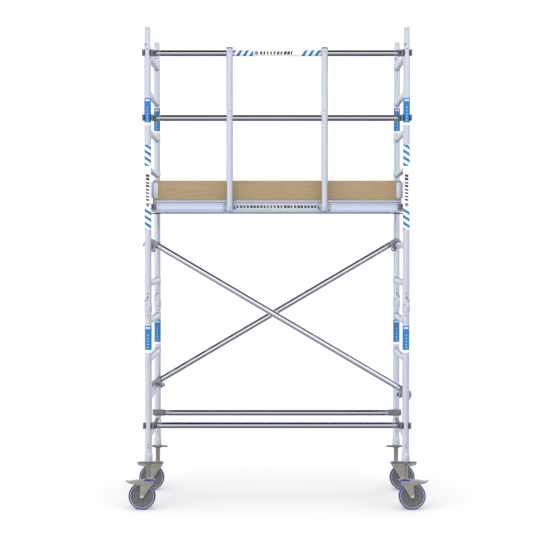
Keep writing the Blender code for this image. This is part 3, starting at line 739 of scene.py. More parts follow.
# The crimp sleeves are the rails' aluminium painted lighter: a painted highlight for the glints on the
# crimps.
GLINT_CRIMP = drawn_metal("crimped_end_painted_highlight", (0.8, 0.82, 0.88), 0.24, "X", 0.05, 0.04)
ZINC = zinc_metal("zinc_plate", (0.42, 0.405, 0.365), 0.4)
WIRE_ZINC = zinc_metal("dark_wire", (0.11, 0.11, 0.115), 0.4)
DARK_ZINC = zinc_metal("dark_zinc", (0.26, 0.25, 0.23), 0.45)
BRIGHT_ZINC = zinc_metal("bright_zinc", (0.78, 0.77, 0.74), 0.28)
NYLON = moulded("black_nylon", (0.018, 0.019, 0.022), 0.42)
CAP_PLASTIC = moulded("grey_cap", (0.2, 0.21, 0.23), 0.45)
WHEEL_PLASTIC = moulded("wheel_centre", (0.115, 0.118, 0.12), 0.52)
RIM_PLASTIC = moulded("rim_ring", (0.5, 0.54, 0.66), 0.4)
TYRE = moulded("blue_tyre", (0.022, 0.032, 0.2), 0.42, 1100.0)
PEDAL_BLUE = moulded("blue_release", (0.01, 0.016, 0.42), 0.22, 2500.0, Coat_Weight=0.5)
BOARD = {
    axis: board_face(f"toe_board_face_{axis.lower()}", axis, (0.385, 0.285, 0.158), (0.285, 0.2, 0.106))
    for axis in "XY"
}
BOARD_EDGE = {
    axis: board_edge(f"toe_board_edge_{axis.lower()}", axis, 0.0, 0.0022, (0.5, 0.36, 0.2), (0.3, 0.19, 0.1))
    for axis in "XY"
}
DECK_FILM = deck_film()
DECK_EDGE = board_edge("deck_edge", "Z", DECK_BOTTOM, 0.0013, (0.42, 0.29, 0.17), (0.22, 0.13, 0.07))
WHITE, GREY_PAPER, INK = (0.86, 0.88, 0.9), (0.5, 0.52, 0.55), (0.02, 0.02, 0.025)
LABEL_BLUE, EMBLEM_BLUE = (0.002, 0.16, 0.4), (0.006, 0.022, 0.12)
STRIPED = printed(
    "striped_label", WHITE, stripe_zone=0.155, mark_half_width=0.0135, mark_zone=0.1, emblem_at=-0.128
)
RAIL_STRIPED = printed(
    "striped_rail_label", WHITE, stripe_zone=0.175, mark_half_width=0.0125, mark_zone=0.125, emblem_at=-0.152
)
BLUE_LABEL = data_label("blue_label", (0.001, 0.17, 0.5))
BEAM_LABEL = printed("beam_label", GREY_PAPER, stripe_zone=0.3, mark_half_width=0.01, mark_zone=0.305)


# Ladder frames


def eased(start, end, t):
    """A smooth blend from start to end, with t from 0 to 1."""
    return start + (end - start) * (t * t * (3 - 2 * t))


def post_mesh(bottom, shoulder):
    """A hollow post: spigot, swaged shoulder, tube and bell, with every change of radius rounded."""
    top = shoulder + SPIGOT_LENGTH
    outside = [
        (SPIGOT_BORE, top - 0.0008), (SPIGOT_BORE + 0.0006, top), (SPIGOT_R - 0.001, top),
        (SPIGOT_R, top - 0.0015), (SPIGOT_R, shoulder + SHOULDER_HEIGHT),
    ]
    for step in range(1, 8):
        t = step / 7
        outside.append((eased(SPIGOT_R, POST_R, t), shoulder + SHOULDER_HEIGHT * (1 - t)))
    for step in range(9):
        t = step / 8
        outside.append((eased(POST_R, BELL_R, t), bottom + BELL_HEIGHT - BELL_TAPER * t))
    outside += [(BELL_R, bottom + 0.006), (BELL_R - 0.0004, bottom + 0.0018), (BELL_R - 0.0018, bottom)]
    inside = [
        (BELL_BORE, bottom), (POST_BORE, bottom + 0.012), (POST_BORE, shoulder - 0.01),
        (SPIGOT_BORE, shoulder + 0.012),
    ]
    return lathe(outside + inside)


def reach_to_post(x, radius):
    """How far a rung runs along Y, at a distance x off its axis, before it meets a post of this radius."""
    return POST_Y - math.sqrt(max(0.0, radius**2 - x * x))


def rung_mesh():
    """A ribbed rung along Y between two posts, cut to the posts' round sides."""
    shape = bmesh.new()
    rings = []
    for level in (-1.0, -0.66, -0.33, 0.0, 0.33, 0.66, 1.0):
        ring = []
        for step, turn in enumerate(full_turn(RUNG_SIDES)):
            radius = RUNG_R - (RIB_DEPTH if step % 3 == 0 else 0.0)
            x, z = radius * math.cos(turn), radius * math.sin(turn)
            ring.append(shape.verts.new((x, level * reach_to_post(x, POST_R - 0.0012), z)))
        rings.append(ring)
    inner = []
    for ring in (rings[0], rings[-1]):
        inner.append([shape.verts.new((v.co.x * RUNG_HOLLOW, v.co.y, v.co.z * RUNG_HOLLOW)) for v in ring])
    bridge(shape, [*zip(rings, rings[1:]), (rings[0], inner[0]), (rings[-1], inner[1]), inner])
    return finished(shape, 14)


def weld_mesh(seed):
    """A rippled bead along the line where a rung meets a post, on the rung's +Y end."""
    chance = random.Random(seed)
    radius = RUNG_R + 0.0004
    points, radii = [], []
    for turn in full_turn(WELD_RIPPLES * POINTS_PER_RIPPLE):
        x, z = radius * math.cos(turn), radius * math.sin(turn)
        points.append((x, reach_to_post(x, POST_R + 0.0002), z))
        radii.append(1 + 0.16 * math.cos(turn * WELD_RIPPLES) + chance.uniform(-0.05, 0.05))
    return wire(points, WELD_R, cyclic=True, resolution=2, radii=radii)


def ladder_frame(level, side, bottom, shoulder, heights):
    """Two posts, drilled or with nylon plugs in their holes, and the rungs welded between them."""
    name, x = f"{level}_frame_{side}", SIDES[side] * POST_X
    posts, plugs = [], []
    for end, way in ENDS.items():
        y = way * POST_Y
        face = y - POST_R
        drills = []
        for z in POST_HOLES[level][end]:
            through = z == PIN_Z or z > UPPER_SHOULDER
            drills.append(cross_rod(x, z, y - 0.034, y + (0.034 if through else -0.008), HOLE_R, sides=20))
            if not through:
                plugs.append(cross_rod(x, z, face + 0.0004, face + 0.006, PLUG_R, sides=20))
        posts.append(subtracted(moved(post_mesh(bottom, shoulder), at(x, y, 0)), drills))
    piece(f"{name}_posts", joined(posts), TUBE["Z"], "frame_aluminium", name)
    piece(f"{name}_plugs", joined(plugs), NYLON, "latch_nylon")
    rungs = joined([rung_mesh() for _ in heights], [at(x, 0, z) for z in heights])
    # The rungs' finish holds painted shade: darker than the posts' same aluminium.
    piece(f"{name}_rungs", rungs, TUBE["Y"], "frame_aluminium")
    beads, places = [], []
    for number, z in enumerate(heights):
        for way in ENDS.values():
            beads.append(weld_mesh(100 * number + way))
            places.append(at(x, 0, z) @ Matrix.Diagonal((1, way, 1, 1)))
    piece(f"{name}_welds", joined(beads, places), WELD, "frame_aluminium")


def frame_pin(corner):
    """The locking pin through a frame joint, with its wire clip."""
    end, side = corner.split("_")
    x, y, out = SIDES[side] * POST_X, ENDS[end] * POST_Y, SIDES[side]
    head_y = y - 0.0315
    shank = cross_rod(x, PIN_Z, head_y - 0.0025, y + 0.03, 0.0039, 0.0012, 20)
    head = cross_rod(x, PIN_Z, head_y - 0.003, head_y + 0.0008, 0.0062, 0.001)
    # Distances of the clip's bends outwards, along Y and down from the pin's head
    bends = [
        (0.0, -0.001, 0.0), (0.004, -0.001, 0.008), (0.014, -0.001, 0.018), (0.0225, 0.0, 0.026),
        (0.0255, 0.001, 0.033), (0.0215, 0.001, 0.0365),
    ]
    path = smooth_path([(x + out * aside, head_y + dy, PIN_Z - drop) for aside, dy, drop in bends])
    pin = joined([shank, head, wire(path, 0.0017, resolution=4)])
    piece(f"locking_pin_{corner}", pin, WIRE_ZINC, "zinc_steel", f"frame_pin_{corner}", f"pin_{corner}")


# Labels


def printed_sheet(columns, rows, corner_at):
    """A thin sheet over a grid. corner_at(s, t), with s and t from 0 to 1, gives a point and its UV."""
    shape = bmesh.new()
    uv = shape.loops.layers.uv.new("UVMap")
    grid = []
    for i in range(columns + 1):
        line = [corner_at(i / columns, j / rows) for j in range(rows + 1)]
        grid.append([(shape.verts.new(point), mark) for point, mark in line])
    for i in range(columns):
        for j in range(rows):
            corners = [grid[i][j], grid[i + 1][j], grid[i + 1][j + 1], grid[i][j + 1]]
            face = shape.faces.new([vertex for vertex, _ in corners])
            for loop, (_, mark) in zip(face.loops, corners):
                loop[uv].uv = mark
    shape.normal_update()
    bmesh.ops.solidify(shape, geom=shape.faces[:], thickness=SHEET_THICK)
    return as_mesh(shape)


def tube_label(name, finish, slot, centre, tube_r, length, half_angle, turn=Matrix()):
    """A sheet on a tube along local Z, wrapped as far as an angle in radians each way from local -Y."""
    radius = tube_r + LABEL_LIFT

    def corner_at(s, t):
        angle, z = half_angle * (2 * s - 1), length * (t - 0.5)
        return (radius * math.sin(angle), -radius * math.cos(angle), z), (angle * radius, z)

    piece(name, printed_sheet(16, 8, corner_at), finish, slot, place=Matrix.Translation(centre) @ turn)


def labels():
    for side, out in SIDES.items():
        x = out * POST_X
        centre = (x, -POST_Y, STRIPED_LABEL_Z)
        name = f"striped_label_{side}"
        tube_label(name, STRIPED, "frame_aluminium", centre, POST_R, STRIPED_LABEL_LENGTH, 1.25)
        for end, way in ENDS.items():
            for level, z in BLUE_LABEL_HEIGHTS.items():
                name, centre = f"blue_label_{level}_{end}_{side}", (x, way * POST_Y, z)
                tube_label(name, BLUE_LABEL, "frame_aluminium", centre, POST_R, BLUE_LABEL_LENGTH, 1.35)
    centre = (0, GUARD_Y, middle("guard_rail_top", "z"))
    name = "striped_label_rail"
    tube_label(name, RAIL_STRIPED, "rail_aluminium", centre, RAIL_R, RAIL_LABEL_LENGTH, 1.2, ABOUT_Y)


def beam_label():
    """A flat sheet in the recess of the front beam."""
    half_length, low_z, high_z = 0.325, 2.222, 2.256
    face_y = -BEAM_HIGH.y + 0.0016

    def corner_at(s, t):
        x, z = half_length * (2 * s - 1), low_z + (high_z - low_z) * t
        return (x, face_y, z), (z - (low_z + high_z) / 2, x)

    piece("beam_label_strip", printed_sheet(1, 1, corner_at), BEAM_LABEL, "beam_aluminium")


# Rails and braces


def claw_outline():
    """A jaw round a tube at the origin, open towards -y, with its neck along +x."""
    nose = [(-0.04, -0.0195), (-0.0385, -0.0215), (-0.028, -0.0215), (-0.0265, -0.0195)]
    neck = [(0.0265, -0.0262), (0.0283, -0.028), (0.0402, -0.028), (0.042, -0.0262)]
    back = rounded([(0.042, -0.002), (0.048, 0.007), (0.056, 0.0115)], 0.004)[5:-5]
    tail = [(0.056, 0.0115), (0.056, 0.0545), (0.03, 0.056), (0.0, 0.0555)]
    shoulder = arc(0.04, 130, 180, 8, (0, 0.015))[1:]
    return [*nose, *arc(JAW_R, 180, 0, 20), *neck, *back, *tail, (-0.015, 0.0545), *shoulder]


def claw_parts(notch):
    """A cast claw's jaw and the collar that the rail goes into, with a notch cut in them if there is one."""
    jaw = plate(claw_outline(), 2 * JAW_HALF_HEIGHT, bevel=0.0025)
    collar = hollow_tube((0.046, RAIL_OFFSET, 0), (0.062, RAIL_OFFSET, 0), RAIL_R + 0.0008, COLLAR_BORE)
    return [subtracted(part, [notch]) if notch else part for part in (jaw, collar)]


def rail_tube(length):
    """A drawn tube along local X, necked down where it goes into the crimped sleeve at each end."""
    neck = RAIL_R - 0.0016
    end = [(RAIL_BORE, 0.0), (neck, 0.0), (neck, SLEEVE_LENGTH + 0.0005), (RAIL_R, SLEEVE_LENGTH + 0.003)]
    span = length - 2 * RAIL_START
    return lathe(end + [(radius, span - h) for radius, h in reversed(end)], RAIL_SIDES, RAIL_LINE)


def crimp_sleeve():
    """The sleeve with two rolled grooves that fixes a rail in its claw. The sleeve is real; its light tone is
    a painted highlight for the glints on its crimps.
    """
    deep, full = RAIL_R - 0.0014, RAIL_R + 0.0002
    profile = [(SLEEVE_BORE, 0.0), (full - 0.0006, 0.0), (full, 0.0006)]
    for groove in (0.0085, 0.0275):
        profile += [(full, groove), (deep, groove + 0.002), (deep, groove + 0.0035), (full, groove + 0.0055)]
    profile += [(full, SLEEVE_LENGTH - 0.0006), (full - 0.0006, SLEEVE_LENGTH), (SLEEVE_BORE, SLEEVE_LENGTH)]
    return lathe(profile, RAIL_SIDES, RAIL_LINE)


def rail(name, place, length, saddle=False):
    """A tube between two claws, built along local X from its left end. A saddle is a notch over the rung."""
    ends = [Matrix(), at(length, 0, 0) @ Matrix.Rotation(math.pi, 4, "Y")]
    brace = name.startswith("brace")
    # A brace's tube is painted lighter than a rail's: painted light.
    tube_finish = LIT_BRACE_FINISH if brace else RAIL_FINISH
    piece(f"{name}_tube", rail_tube(length), tube_finish, "rail_aluminium", name, place=place)
    sleeves = [moved(crimp_sleeve(), end) for end in ends]
    # The sleeves' light tone is a painted highlight.
    piece(f"{name}_crimps", joined(sleeves), GLINT_CRIMP, "rail_aluminium", place=place)
    claws, rivets = [], []
    for end, up in zip(ends, (1, -1)):
        notch = None
        if saddle:
            low, high = (-0.0275, 0.01, up * SADDLE_TOP), (0.0275, 0.06, -up * SADDLE_DEPTH)
            notch = slab(low, high, 0.0001, 1)
        claws += [moved(part, end) for part in claw_parts(notch)]
        for sign in (-1, 1):
            dimple, tip = (RAIL_OFFSET - sign * (RAIL_R + rise) for rise in (-0.0012, 0.0006))
            rivets.append(moved(cross_rod(RIVET_X, 0, dimple, tip, 0.0042, 0.0005, 16), end))
    # A brace's claws are painted lighter than a rail's: painted light.
    piece(f"{name}_claws", joined(claws), LIT_BRACE_CAST if brace else CAST, "cast_aluminium", place=place)
    piece(f"{name}_rivets", joined(rivets), NYLON, "latch_nylon", place=place)
    for side, end in zip(SIDES, ends):
        latch(f"{name}_latch_{side}", place @ end)


def latch(name, place):
    """A sprung bolt across the mouth of a claw, with a ribbed finger trigger."""
    bolt = rounded_rod((0.0195, LATCH_Y, 0), (0.056, LATCH_Y, 0), 0.0039, 0.0014, 20)
    trigger = [slab((0.05, LATCH_Y - 0.0036, -0.0036), (0.0592, 0.002, 0.0036), 0.0012, 3)]
    for x in (0.0511, 0.0536, 0.0561):
        trigger.append(slab((x, LATCH_Y - 0.0044, -0.0034), (x + 0.001, -0.001, 0.0034), 0.0003))
    piece(f"{name}_bolt", joined([bolt, *trigger]), NYLON, "latch_nylon", name, name, place)


def rails_and_braces():
    rails = {
        "guard_rail_top": "front", "guard_rail_middle": "front", "base_rail_front": "front",
        "base_rail_back": "back",
    }
    for name, end in rails.items():
        way = ENDS[end]
        place = frame_matrix((-POST_X, way * POST_Y, middle(name, "z")), (1, 0, 0), (0, -way, 0))
        rail(name, place, 2 * POST_X, saddle="guard" in name)
    rise = BRACE_HIGH_Z - BRACE_LOW_Z
    for name, left_z, climb in (("brace_front", BRACE_HIGH_Z, -rise), ("brace_back", BRACE_LOW_Z, rise)):
        run = Vector((2 * POST_X, 0, climb))
        place = frame_matrix((-POST_X, middle(name, "y"), left_z), run, (-climb, 0, 2 * POST_X))
        rail(name, place, run.length)


# Stanchions


def stanchion(side):
    """An upright on the front beam: its tube with straps round the guard rails, its cap, foot and bolts."""
    name, way = f"stanchion_{side}", SIDES[side]
    x = way * STANCHION_X
    low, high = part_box(name)
    bottom, top = (x, STANCHION_Y, low.z), (x, STANCHION_Y, high.z - 0.012)
    tube = hollow_tube(bottom, top, STANCHION_R, 0.0225, POST_SIDES)
    band = [(-0.027, 0.0275), (-0.027, 0.0232), *arc(0.0232, 90, -20, 14), *arc(0.0275, -20, 90, 14)]
    straps = []
    for node in ("guard_rail_middle", "guard_rail_top"):
        place = frame_matrix((x, GUARD_Y, middle(node, "z")), (0, 1, 0), (0, 0, 1))
        straps.append(plate(band, 0.02, place))
    piece(f"{name}_tube", joined([tube, *straps]), TUBE["Z"], "frame_aluminium", name)
    dome = [
        (0, 0), (0.012, 0.0005), (0.0205, 0.0028), (0.0246, 0.007), (0.0262, 0.011), (0.0262, 0.015),
        (0.025, 0.016), (0, 0.016),
    ]
    cap = lathe([(radius, high.z - drop) for radius, drop in dome], POST_SIDES, at(x, STANCHION_Y, 0))
    piece(f"{name}_cap", cap, CAP_PLASTIC, "latch_nylon")
    inner, outer, back = x - way * 0.02, x + way * 0.047, -BEAM_HIGH.y - 0.0003
    foot = [slab((inner, -0.37, 2.21), (outer, back, 2.255), 0.003, 4)]
    inner, outer = inner + way * 0.0015, outer - way * 0.0015
    for z in (2.212, 2.23, 2.248):
        foot.append(slab((inner, -0.372, z), (outer, back - 0.002, z + 0.0045), 0.0012))
    piece(f"{name}_foot", joined(foot), LIGHT_CAST, "cast_aluminium")
    front = STANCHION_Y - STANCHION_R
    heads = [cross_rod(x, z, front + 0.003, front - 0.0014, 0.0046, 0.001, 20) for z in STANCHION_BOLTS]
    piece(f"{name}_bolts", joined(heads), DARK_ZINC, "zinc_steel")


# Platform


def beam(end):
    """An extruded side beam: a boxed top lip, a recessed web between two fine grooves, and a foot flange."""
    name, way = f"platform_beam_{end}", ENDS[end]
    bottom, top, ledge = BEAM_LOW.z, BEAM_HIGH.z, DECK_BOTTOM - 0.0003
    outer, half = BEAM_HIGH.y, BEAM_HIGH.x
    # Distances inwards from the outer face, with heights
    section = [
        (0.0003, bottom), (0.029, bottom), (0.03, bottom + 0.001), (0.03, bottom + 0.003),
        (0.029, bottom + 0.004), (0.007, bottom + 0.004), (0.0045, bottom + 0.006),
        (0.0045, ledge - 0.007), (0.007, ledge - 0.0045), (0.047, ledge - 0.0045), (0.048, ledge - 0.0035),
        (0.048, ledge - 0.0008), (0.0472, ledge), (0.0305, ledge), (0.0305, top - 0.001), (0.0295, top),
        (0.0012, top), (0.0003, top - 0.0008), (0.0003, top - 0.0075), (0.0026, top - 0.0085),
        (0.0026, top - 0.0115), (0.0006, top - 0.015), (0.002, top - 0.0185), (0.002, bottom + 0.01),
        (0.0012, bottom + 0.0085), (0.0003, bottom + 0.0075),
    ]
    outline = [(way * (outer - inward), z) for inward, z in section]
    mesh = plate(outline, 2 * half, frame_matrix((0, 0, 0), (0, 1, 0), (0, 0, 1)), 0.0002)
    piece(f"{name}_profile", mesh, BEAM_FINISH, "beam_aluminium", name)
    near, far = way * (outer - 0.004), way * (outer - 0.0004)
    brackets = [slab((x, near, 2.2165), (x + 0.029, far, 2.261), 0.001) for x in (-half, half - 0.029)]
    piece(f"{name}_brackets", joined(brackets), CAST, "cast_aluminium")
    bolts = []
    for x in (-0.914, -0.9, 0.9, 0.914):
        for z in (2.2235, 2.2475):
            bolts.append(cross_rod(x, z, way * (outer - 0.0035), way * (outer + 0.001), 0.0052, 0.0012, 20))
    piece(f"{name}_bolts", joined(bolts), DARK_ZINC, "zinc_steel")


def platform_end(side):
    """An end channel, with two hooks that sit on the rung, and the ears and pin that hold the wind lock."""
    name, way = f"platform_end_{side}", SIDES[side]
    inner, outer = way * 0.878, way * 0.912
    reach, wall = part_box(name)[1].y, 0.004
    channel = [
        slab((inner, -reach, CHANNEL_LOW), (outer, reach, CHANNEL_LOW + wall), 0.0012),
        slab((inner, -reach, CHANNEL_HIGH - wall), (outer, reach, CHANNEL_HIGH), 0.0012),
        slab((outer, -reach, CHANNEL_LOW), (outer - way * wall, reach, CHANNEL_HIGH), 0.0012),
    ]
    # The channel has the rungs' finish, with its painted shade.
    piece(f"{name}_channel", joined(channel), TUBE["Y"], "beam_aluminium", name)
    points = [
        (-0.045, -0.018), (-0.045, 0.029), *arc(0.033, 120, -15, 24), *arc(0.0258, -15, 180, 32),
        (-0.0258, -0.018),
    ]
    outline = [(way * (POST_X + px), PLATFORM_RUNG_Z + pz) for px, pz in points]
    parts = [side_plate(outline, y, 0.012, 0.0016) for y in HOOK_PLACES]
    for y in HOOK_PLACES:
        for z in (2.22, 2.247):
            parts.append(cross_rod(way * 0.901, z, y - 0.008, y + 0.008, 0.0042, 0.001, 18))
    ear = rounded(rectangle(way * 0.892, 2.189, way * 0.908, 2.21), 0.004)
    parts += [side_plate(ear, y, 0.004, 0.0006) for y in (-0.0075, 0.0075)]
    pivot = Vector(JOINTS[f"wind_lock_{side}_turn"]["pos_m"])
    parts.append(cross_rod(pivot.x, pivot.z, pivot.y - 0.011, pivot.y + 0.011, 0.0025, 0.0005, 16))
    piece(f"{name}_hooks", joined(parts), CAST, "cast_aluminium")
    wind_lock(f"wind_lock_{side}", way, pivot)


def wind_lock(name, way, pivot):
    """The catch that turns about a pivot to reach under the rung, ribbed on its top."""
    catch = [*arc(0.0063, 90, 270, 12), (0.064, -0.0055), *arc(0.0038, -90, 90, 8, (0.066, -0.0017))]
    catch.append((0.012, 0.0023))
    outline, hole = (
        [(pivot.x + way * px, pivot.z + pz) for px, pz in loop] for loop in (catch, arc(0.003, 0, 330, 11))
    )
    parts = [side_plate(outline, 0, 0.0088, 0.001, [hole])]
    for u in (0.046, 0.05, 0.054, 0.058, 0.062):
        low = (pivot.x + way * u, -0.004, pivot.z + 0.0016)
        high = (pivot.x + way * (u + 0.0015), 0.004, pivot.z + 0.0032)
        parts.append(slab(low, high, 0.0004))
    piece(f"{name}_catch", joined(parts), NYLON, "latch_nylon", name, name)


def board_piece(name, mesh, finishes, faces_axis, slot, node, body="tower"):
    """A board whose faces that don't look along the given axis have the second finish."""
    made = piece(name, mesh, finishes, slot, node, body)
    axis = "XYZ".index(faces_axis)
    for polygon in made.data.polygons:
        polygon.material_index = 0 if abs(polygon.normal[axis]) > 0.5 else 1


def hatch_outline(grow):
    """The deck's opening for the trapdoor, grown by a margin on every side."""
    low_x, high_x, half = HINGE.x - HATCH_LENGTH - grow, HINGE.x + grow, HATCH_HALF_WIDTH + grow
    return rectangle(low_x, -half, high_x, half)


def deck():
    """The deck's board with its opening and rebates, and the frame and hinge lugs round the opening."""
    reach, width = DECK_HIGH.x, DECK_HIGH.y
    place = at(0, 0, (DECK_TOP + DECK_BOTTOM) / 2)
    board = rectangle(-reach, -width, reach, width)
    panel = plate(board, DECK_TOP - DECK_BOTTOM, place, 0.0006, [hatch_outline(0)])
    board_half, pin_half, over = 0.3, 0.165, 0.01
    rebates = [(REBATE_X, reach + over, board_half), (-reach - over, -REBATE_X, board_half)]
    rebates.append((HINGE.x - 0.001, HINGE.x + 0.004, pin_half))
    cuts = []
    for low_x, high_x, half in rebates:
        cuts.append(slab((low_x, -half, DECK_TOP - REBATE), (high_x, half, DECK_TOP + over), 0.0001, 1))
    finishes = [DECK_FILM, DECK_EDGE]
    board_piece("deck_board", subtracted(panel, cuts), finishes, "Z", "deck_plywood", "deck_panel")
    rim_place = at(0, 0, DECK_BOTTOM - 0.00305)
    rim = plate(hatch_outline(0.012), 0.0059, rim_place, 0.0006, [hatch_outline(-0.01)])
    lug = [
        (-0.004, 0.0003), (0.001, 0.0003), (0.001, -0.0004), (0.015, -0.0004), (0.015, 0.0035),
        (0.0085, 0.0045), *arc(0.0045, 50, 170, 8, (0.0, 0.0026)),
    ]
    outline = [(HINGE.x + px, DECK_TOP + pz) for px, pz in lug]
    parts = [rim]
    for y in (-0.1525, 0.1525):
        parts.append(side_plate(outline, y, 0.0148, 0.0005))
        for dy in (-0.004, 0.004):
            parts.append(stud(HINGE.x + 0.0115, y + dy, 0.003, 0.0052, 0.0022, 0.0008, 12))
    piece("hatch_frame", joined(parts), BEAM_FINISH, "beam_aluminium")


def stud(x, y, low, high, radius, bevel, sides):
    """An upright rivet between two heights above the deck's top."""
    return rounded_rod((x, y, DECK_TOP + low), (x, y, DECK_TOP + high), radius, bevel, sides)


def trapdoor():
    """The hinged board with a rimmed finger hole, its hinge pin, and the riveted leaf along it."""
    low_x, high_x = HINGE.x - HATCH_LENGTH, HINGE.x
    finger_x, bottom = low_x + 0.075, DECK_BOTTOM + 0.0004
    outline = rounded(rectangle(low_x + 0.002, -0.208, high_x - 0.0125, 0.208), 0.004)
    finger = rounded(rectangle(finger_x - 0.0148, -0.05, finger_x + 0.0148, 0.05), 0.012, 6)
    panel = plate(outline, DECK_TOP - bottom, at(0, 0, (DECK_TOP + bottom) / 2), 0.0006, [finger])
    board_piece("trapdoor_board", panel, [DECK_FILM, DECK_EDGE], "Z", "deck_plywood", "trapdoor", "trapdoor")
    leaf_top, edge = DECK_TOP + 0.002, 0.14
    parts = [
        cross_rod(high_x, HINGE.z, -0.158, 0.158, 0.0024, 0.0005, 20),
        slab((high_x - 0.03, -edge, DECK_TOP - 0.0002), (high_x - 0.001, edge, leaf_top), 0.0006),
        slab((high_x - 0.0128, -edge, bottom), (high_x - 0.0028, edge, DECK_TOP), 0.0006),
    ]
    parts += [stud(high_x - 0.02, -0.12 + 0.048 * i, 0.001, 0.0032, 0.0036, 0.0012, 16) for i in range(6)]
    rim = rounded(rectangle(finger_x - 0.021, -0.056, finger_x + 0.021, 0.056), 0.014, 6)
    parts.append(plate(rim, 0.0016, at(0, 0, DECK_TOP + 0.0005), 0.0004, [finger]))
    piece("trapdoor_hinge_leaf", joined(parts), BEAM_FINISH, "beam_aluminium", body="trapdoor")


def toe_board(node, face_axis, grain):
    board = slab(*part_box(node), 0.0012, 3)
    finishes = [BOARD[grain], BOARD_EDGE[face_axis]]
    board_piece(f"{node}_plank", board, finishes, face_axis, "toe_board_plywood", node)


def toe_board_holders():
    """Folded corner clips that hold the toe boards, each screwed to the long board."""
    bottom, top, edge_x, sheet = 2.303, 2.419, 0.929, 0.0022
    for end, way in ENDS.items():
        low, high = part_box(f"toe_board_{end}")
        face = way * max(abs(low.y), abs(high.y))
        outside = face + way * sheet
        for side, out in SIDES.items():
            flat = slab((out * 0.883, face, bottom), (out * edge_x, outside, top), 0.0007)
            fold_from, fold_to = (out * (edge_x - sheet), outside), (out * edge_x, face - way * 0.03)
            fold = slab((*fold_from, bottom), (*fold_to, top), 0.0007)
            name = f"toe_board_holder_{end}_{side}"
            piece(name, joined([flat, fold]), BEAM_FINISH, "beam_aluminium")
            near, far = face + way * 0.001, face + way * 0.004
            screws = [cross_rod(out * 0.905, z, near, far, 0.0042, 0.0012, 18) for z in (2.33, 2.392)]
            piece(f"{name}_screws", joined(screws), BRIGHT_ZINC, "zinc_steel")


# Castors


def thread_radius(z, turn):
    """The spindle's radius at a height and a share of a turn, cut between the crests of its helix."""
    fade = min(1.0, (z - THREAD_START) / 0.01, (THREAD_END - z) / 0.006)
    phase = (z / THREAD_LEAD - turn) % 1.0
    cut = min(1.0, max(0.0, 2.0 - abs(phase - 0.5) * 6.0))
    return SPINDLE_R - THREAD_DEPTH * cut * max(0.0, fade)


def spindle_mesh():
    """The spindle about Z: a trapezoidal helix between plain ends, and the swivel head at its foot."""
    shape = bmesh.new()
    turns = full_turn(SPINDLE_SIDES)

    def circle(z, radii):
        points = [(radius * math.cos(turn), radius * math.sin(turn), z) for radius, turn in zip(radii, turns)]
        return [shape.verts.new(point) for point in points]

    foot = [
        (0.013, 0.198), (0.014, 0.199), (0.014, 0.203), (0.0134, 0.204), (0.01, 0.2042), (0.01, 0.2098),
        (0.0252, 0.21), (0.026, 0.2112), (0.026, 0.2215), (0.0245, 0.2238), (0.02, 0.2262), (SPINDLE_R, 0.23),
    ]
    top = [(SPINDLE_R, SPINDLE_TOP - 0.004), (SPINDLE_R - 0.003, SPINDLE_TOP)]
    length = THREAD_END - THREAD_START
    count = int(length / THREAD_LEAD * ROWS_PER_LEAD)
    shares = [step / SPINDLE_SIDES for step in range(SPINDLE_SIDES)]
    rings = [circle(z, [radius] * SPINDLE_SIDES) for radius, z in foot]
    for row in range(count + 1):
        z = THREAD_START + length * row / count
        rings.append(circle(z, [thread_radius(z, share) for share in shares]))
    rings += [circle(z, [radius] * SPINDLE_SIDES) for radius, z in top]
    bridge(shape, zip(rings, rings[1:]))
    shape.faces.new(list(reversed(rings[0])))
    shape.faces.new(rings[-1])
    return finished(shape, 25)


def nut_mesh():
    """The adjusting nut, with its foot at the origin: a collar and two tapering lever arms."""
    top = LOWER_BOTTOM - 0.0003 - NUT_BOTTOM
    profile = [
        (0.0196, top + 0.0155), (0.0214, top + 0.016), (0.0221, top + 0.015), (0.0221, top), (0.031, top),
        (0.032, top - 0.001), (0.032, 0.003), (0.03, 0.0), (0.0205, 0.0), (0.0196, 0.001),
    ]
    parts = [lathe(profile, 48)]
    for way in (-1, 1):
        edge = [(way * 0.0285, -0.007), (way * 0.055, -0.0052), (way * WING_REACH, -0.0058)]
        arm = rounded(edge + mirrored(edge), 0.005, 5)
        parts.append(plate(arm, top - 0.003, at(0, 0, (top + 0.001) / 2), 0.0035))
    return joined(parts)


def fork_mesh():
    """The pressed fork, with u along +X from the swivel axis and z from the floor."""
    outline = [
        (-0.033, CROWN_TOP - 0.001), (-0.033, 0.19), (-0.017, 0.173),
        *arc(0.0155, 200, 355, 18, (WHEEL_TRAIL, WHEEL_R)), (0.06, 0.165), (0.059, 0.178),
        (0.045, CROWN_TOP - 0.001),
    ]
    parts = [side_plate(outline, way * (FORK_INNER + FORK_THICK / 2), FORK_THICK, 0.0012) for way in (-1, 1)]
    crown = rounded(rectangle(-0.032, -0.0325, 0.044, 0.0325), 0.006)
    place = at(0, 0, (CROWN_TOP + CROWN_BOTTOM) / 2)
    parts.append(plate(crown, CROWN_TOP - CROWN_BOTTOM, place, 0.0014, [arc(0.0109, 0, 352, 44)]))
    for y in (-0.0295, 0.0295):
        bend_z = CROWN_TOP - 0.0038
        parts.append(rounded_rod((-0.031, y, bend_z), (0.043, y, bend_z), 0.0036, 0.001, 16))
    dish = [(0.029, 0), (0.0285, 0.004), (0.018, 0.006), (0.0165, 0.004), (0.0165, 0)]
    parts.append(lathe([(radius, CROWN_BOTTOM - drop) for radius, drop in dish], 40))
    return joined(parts)


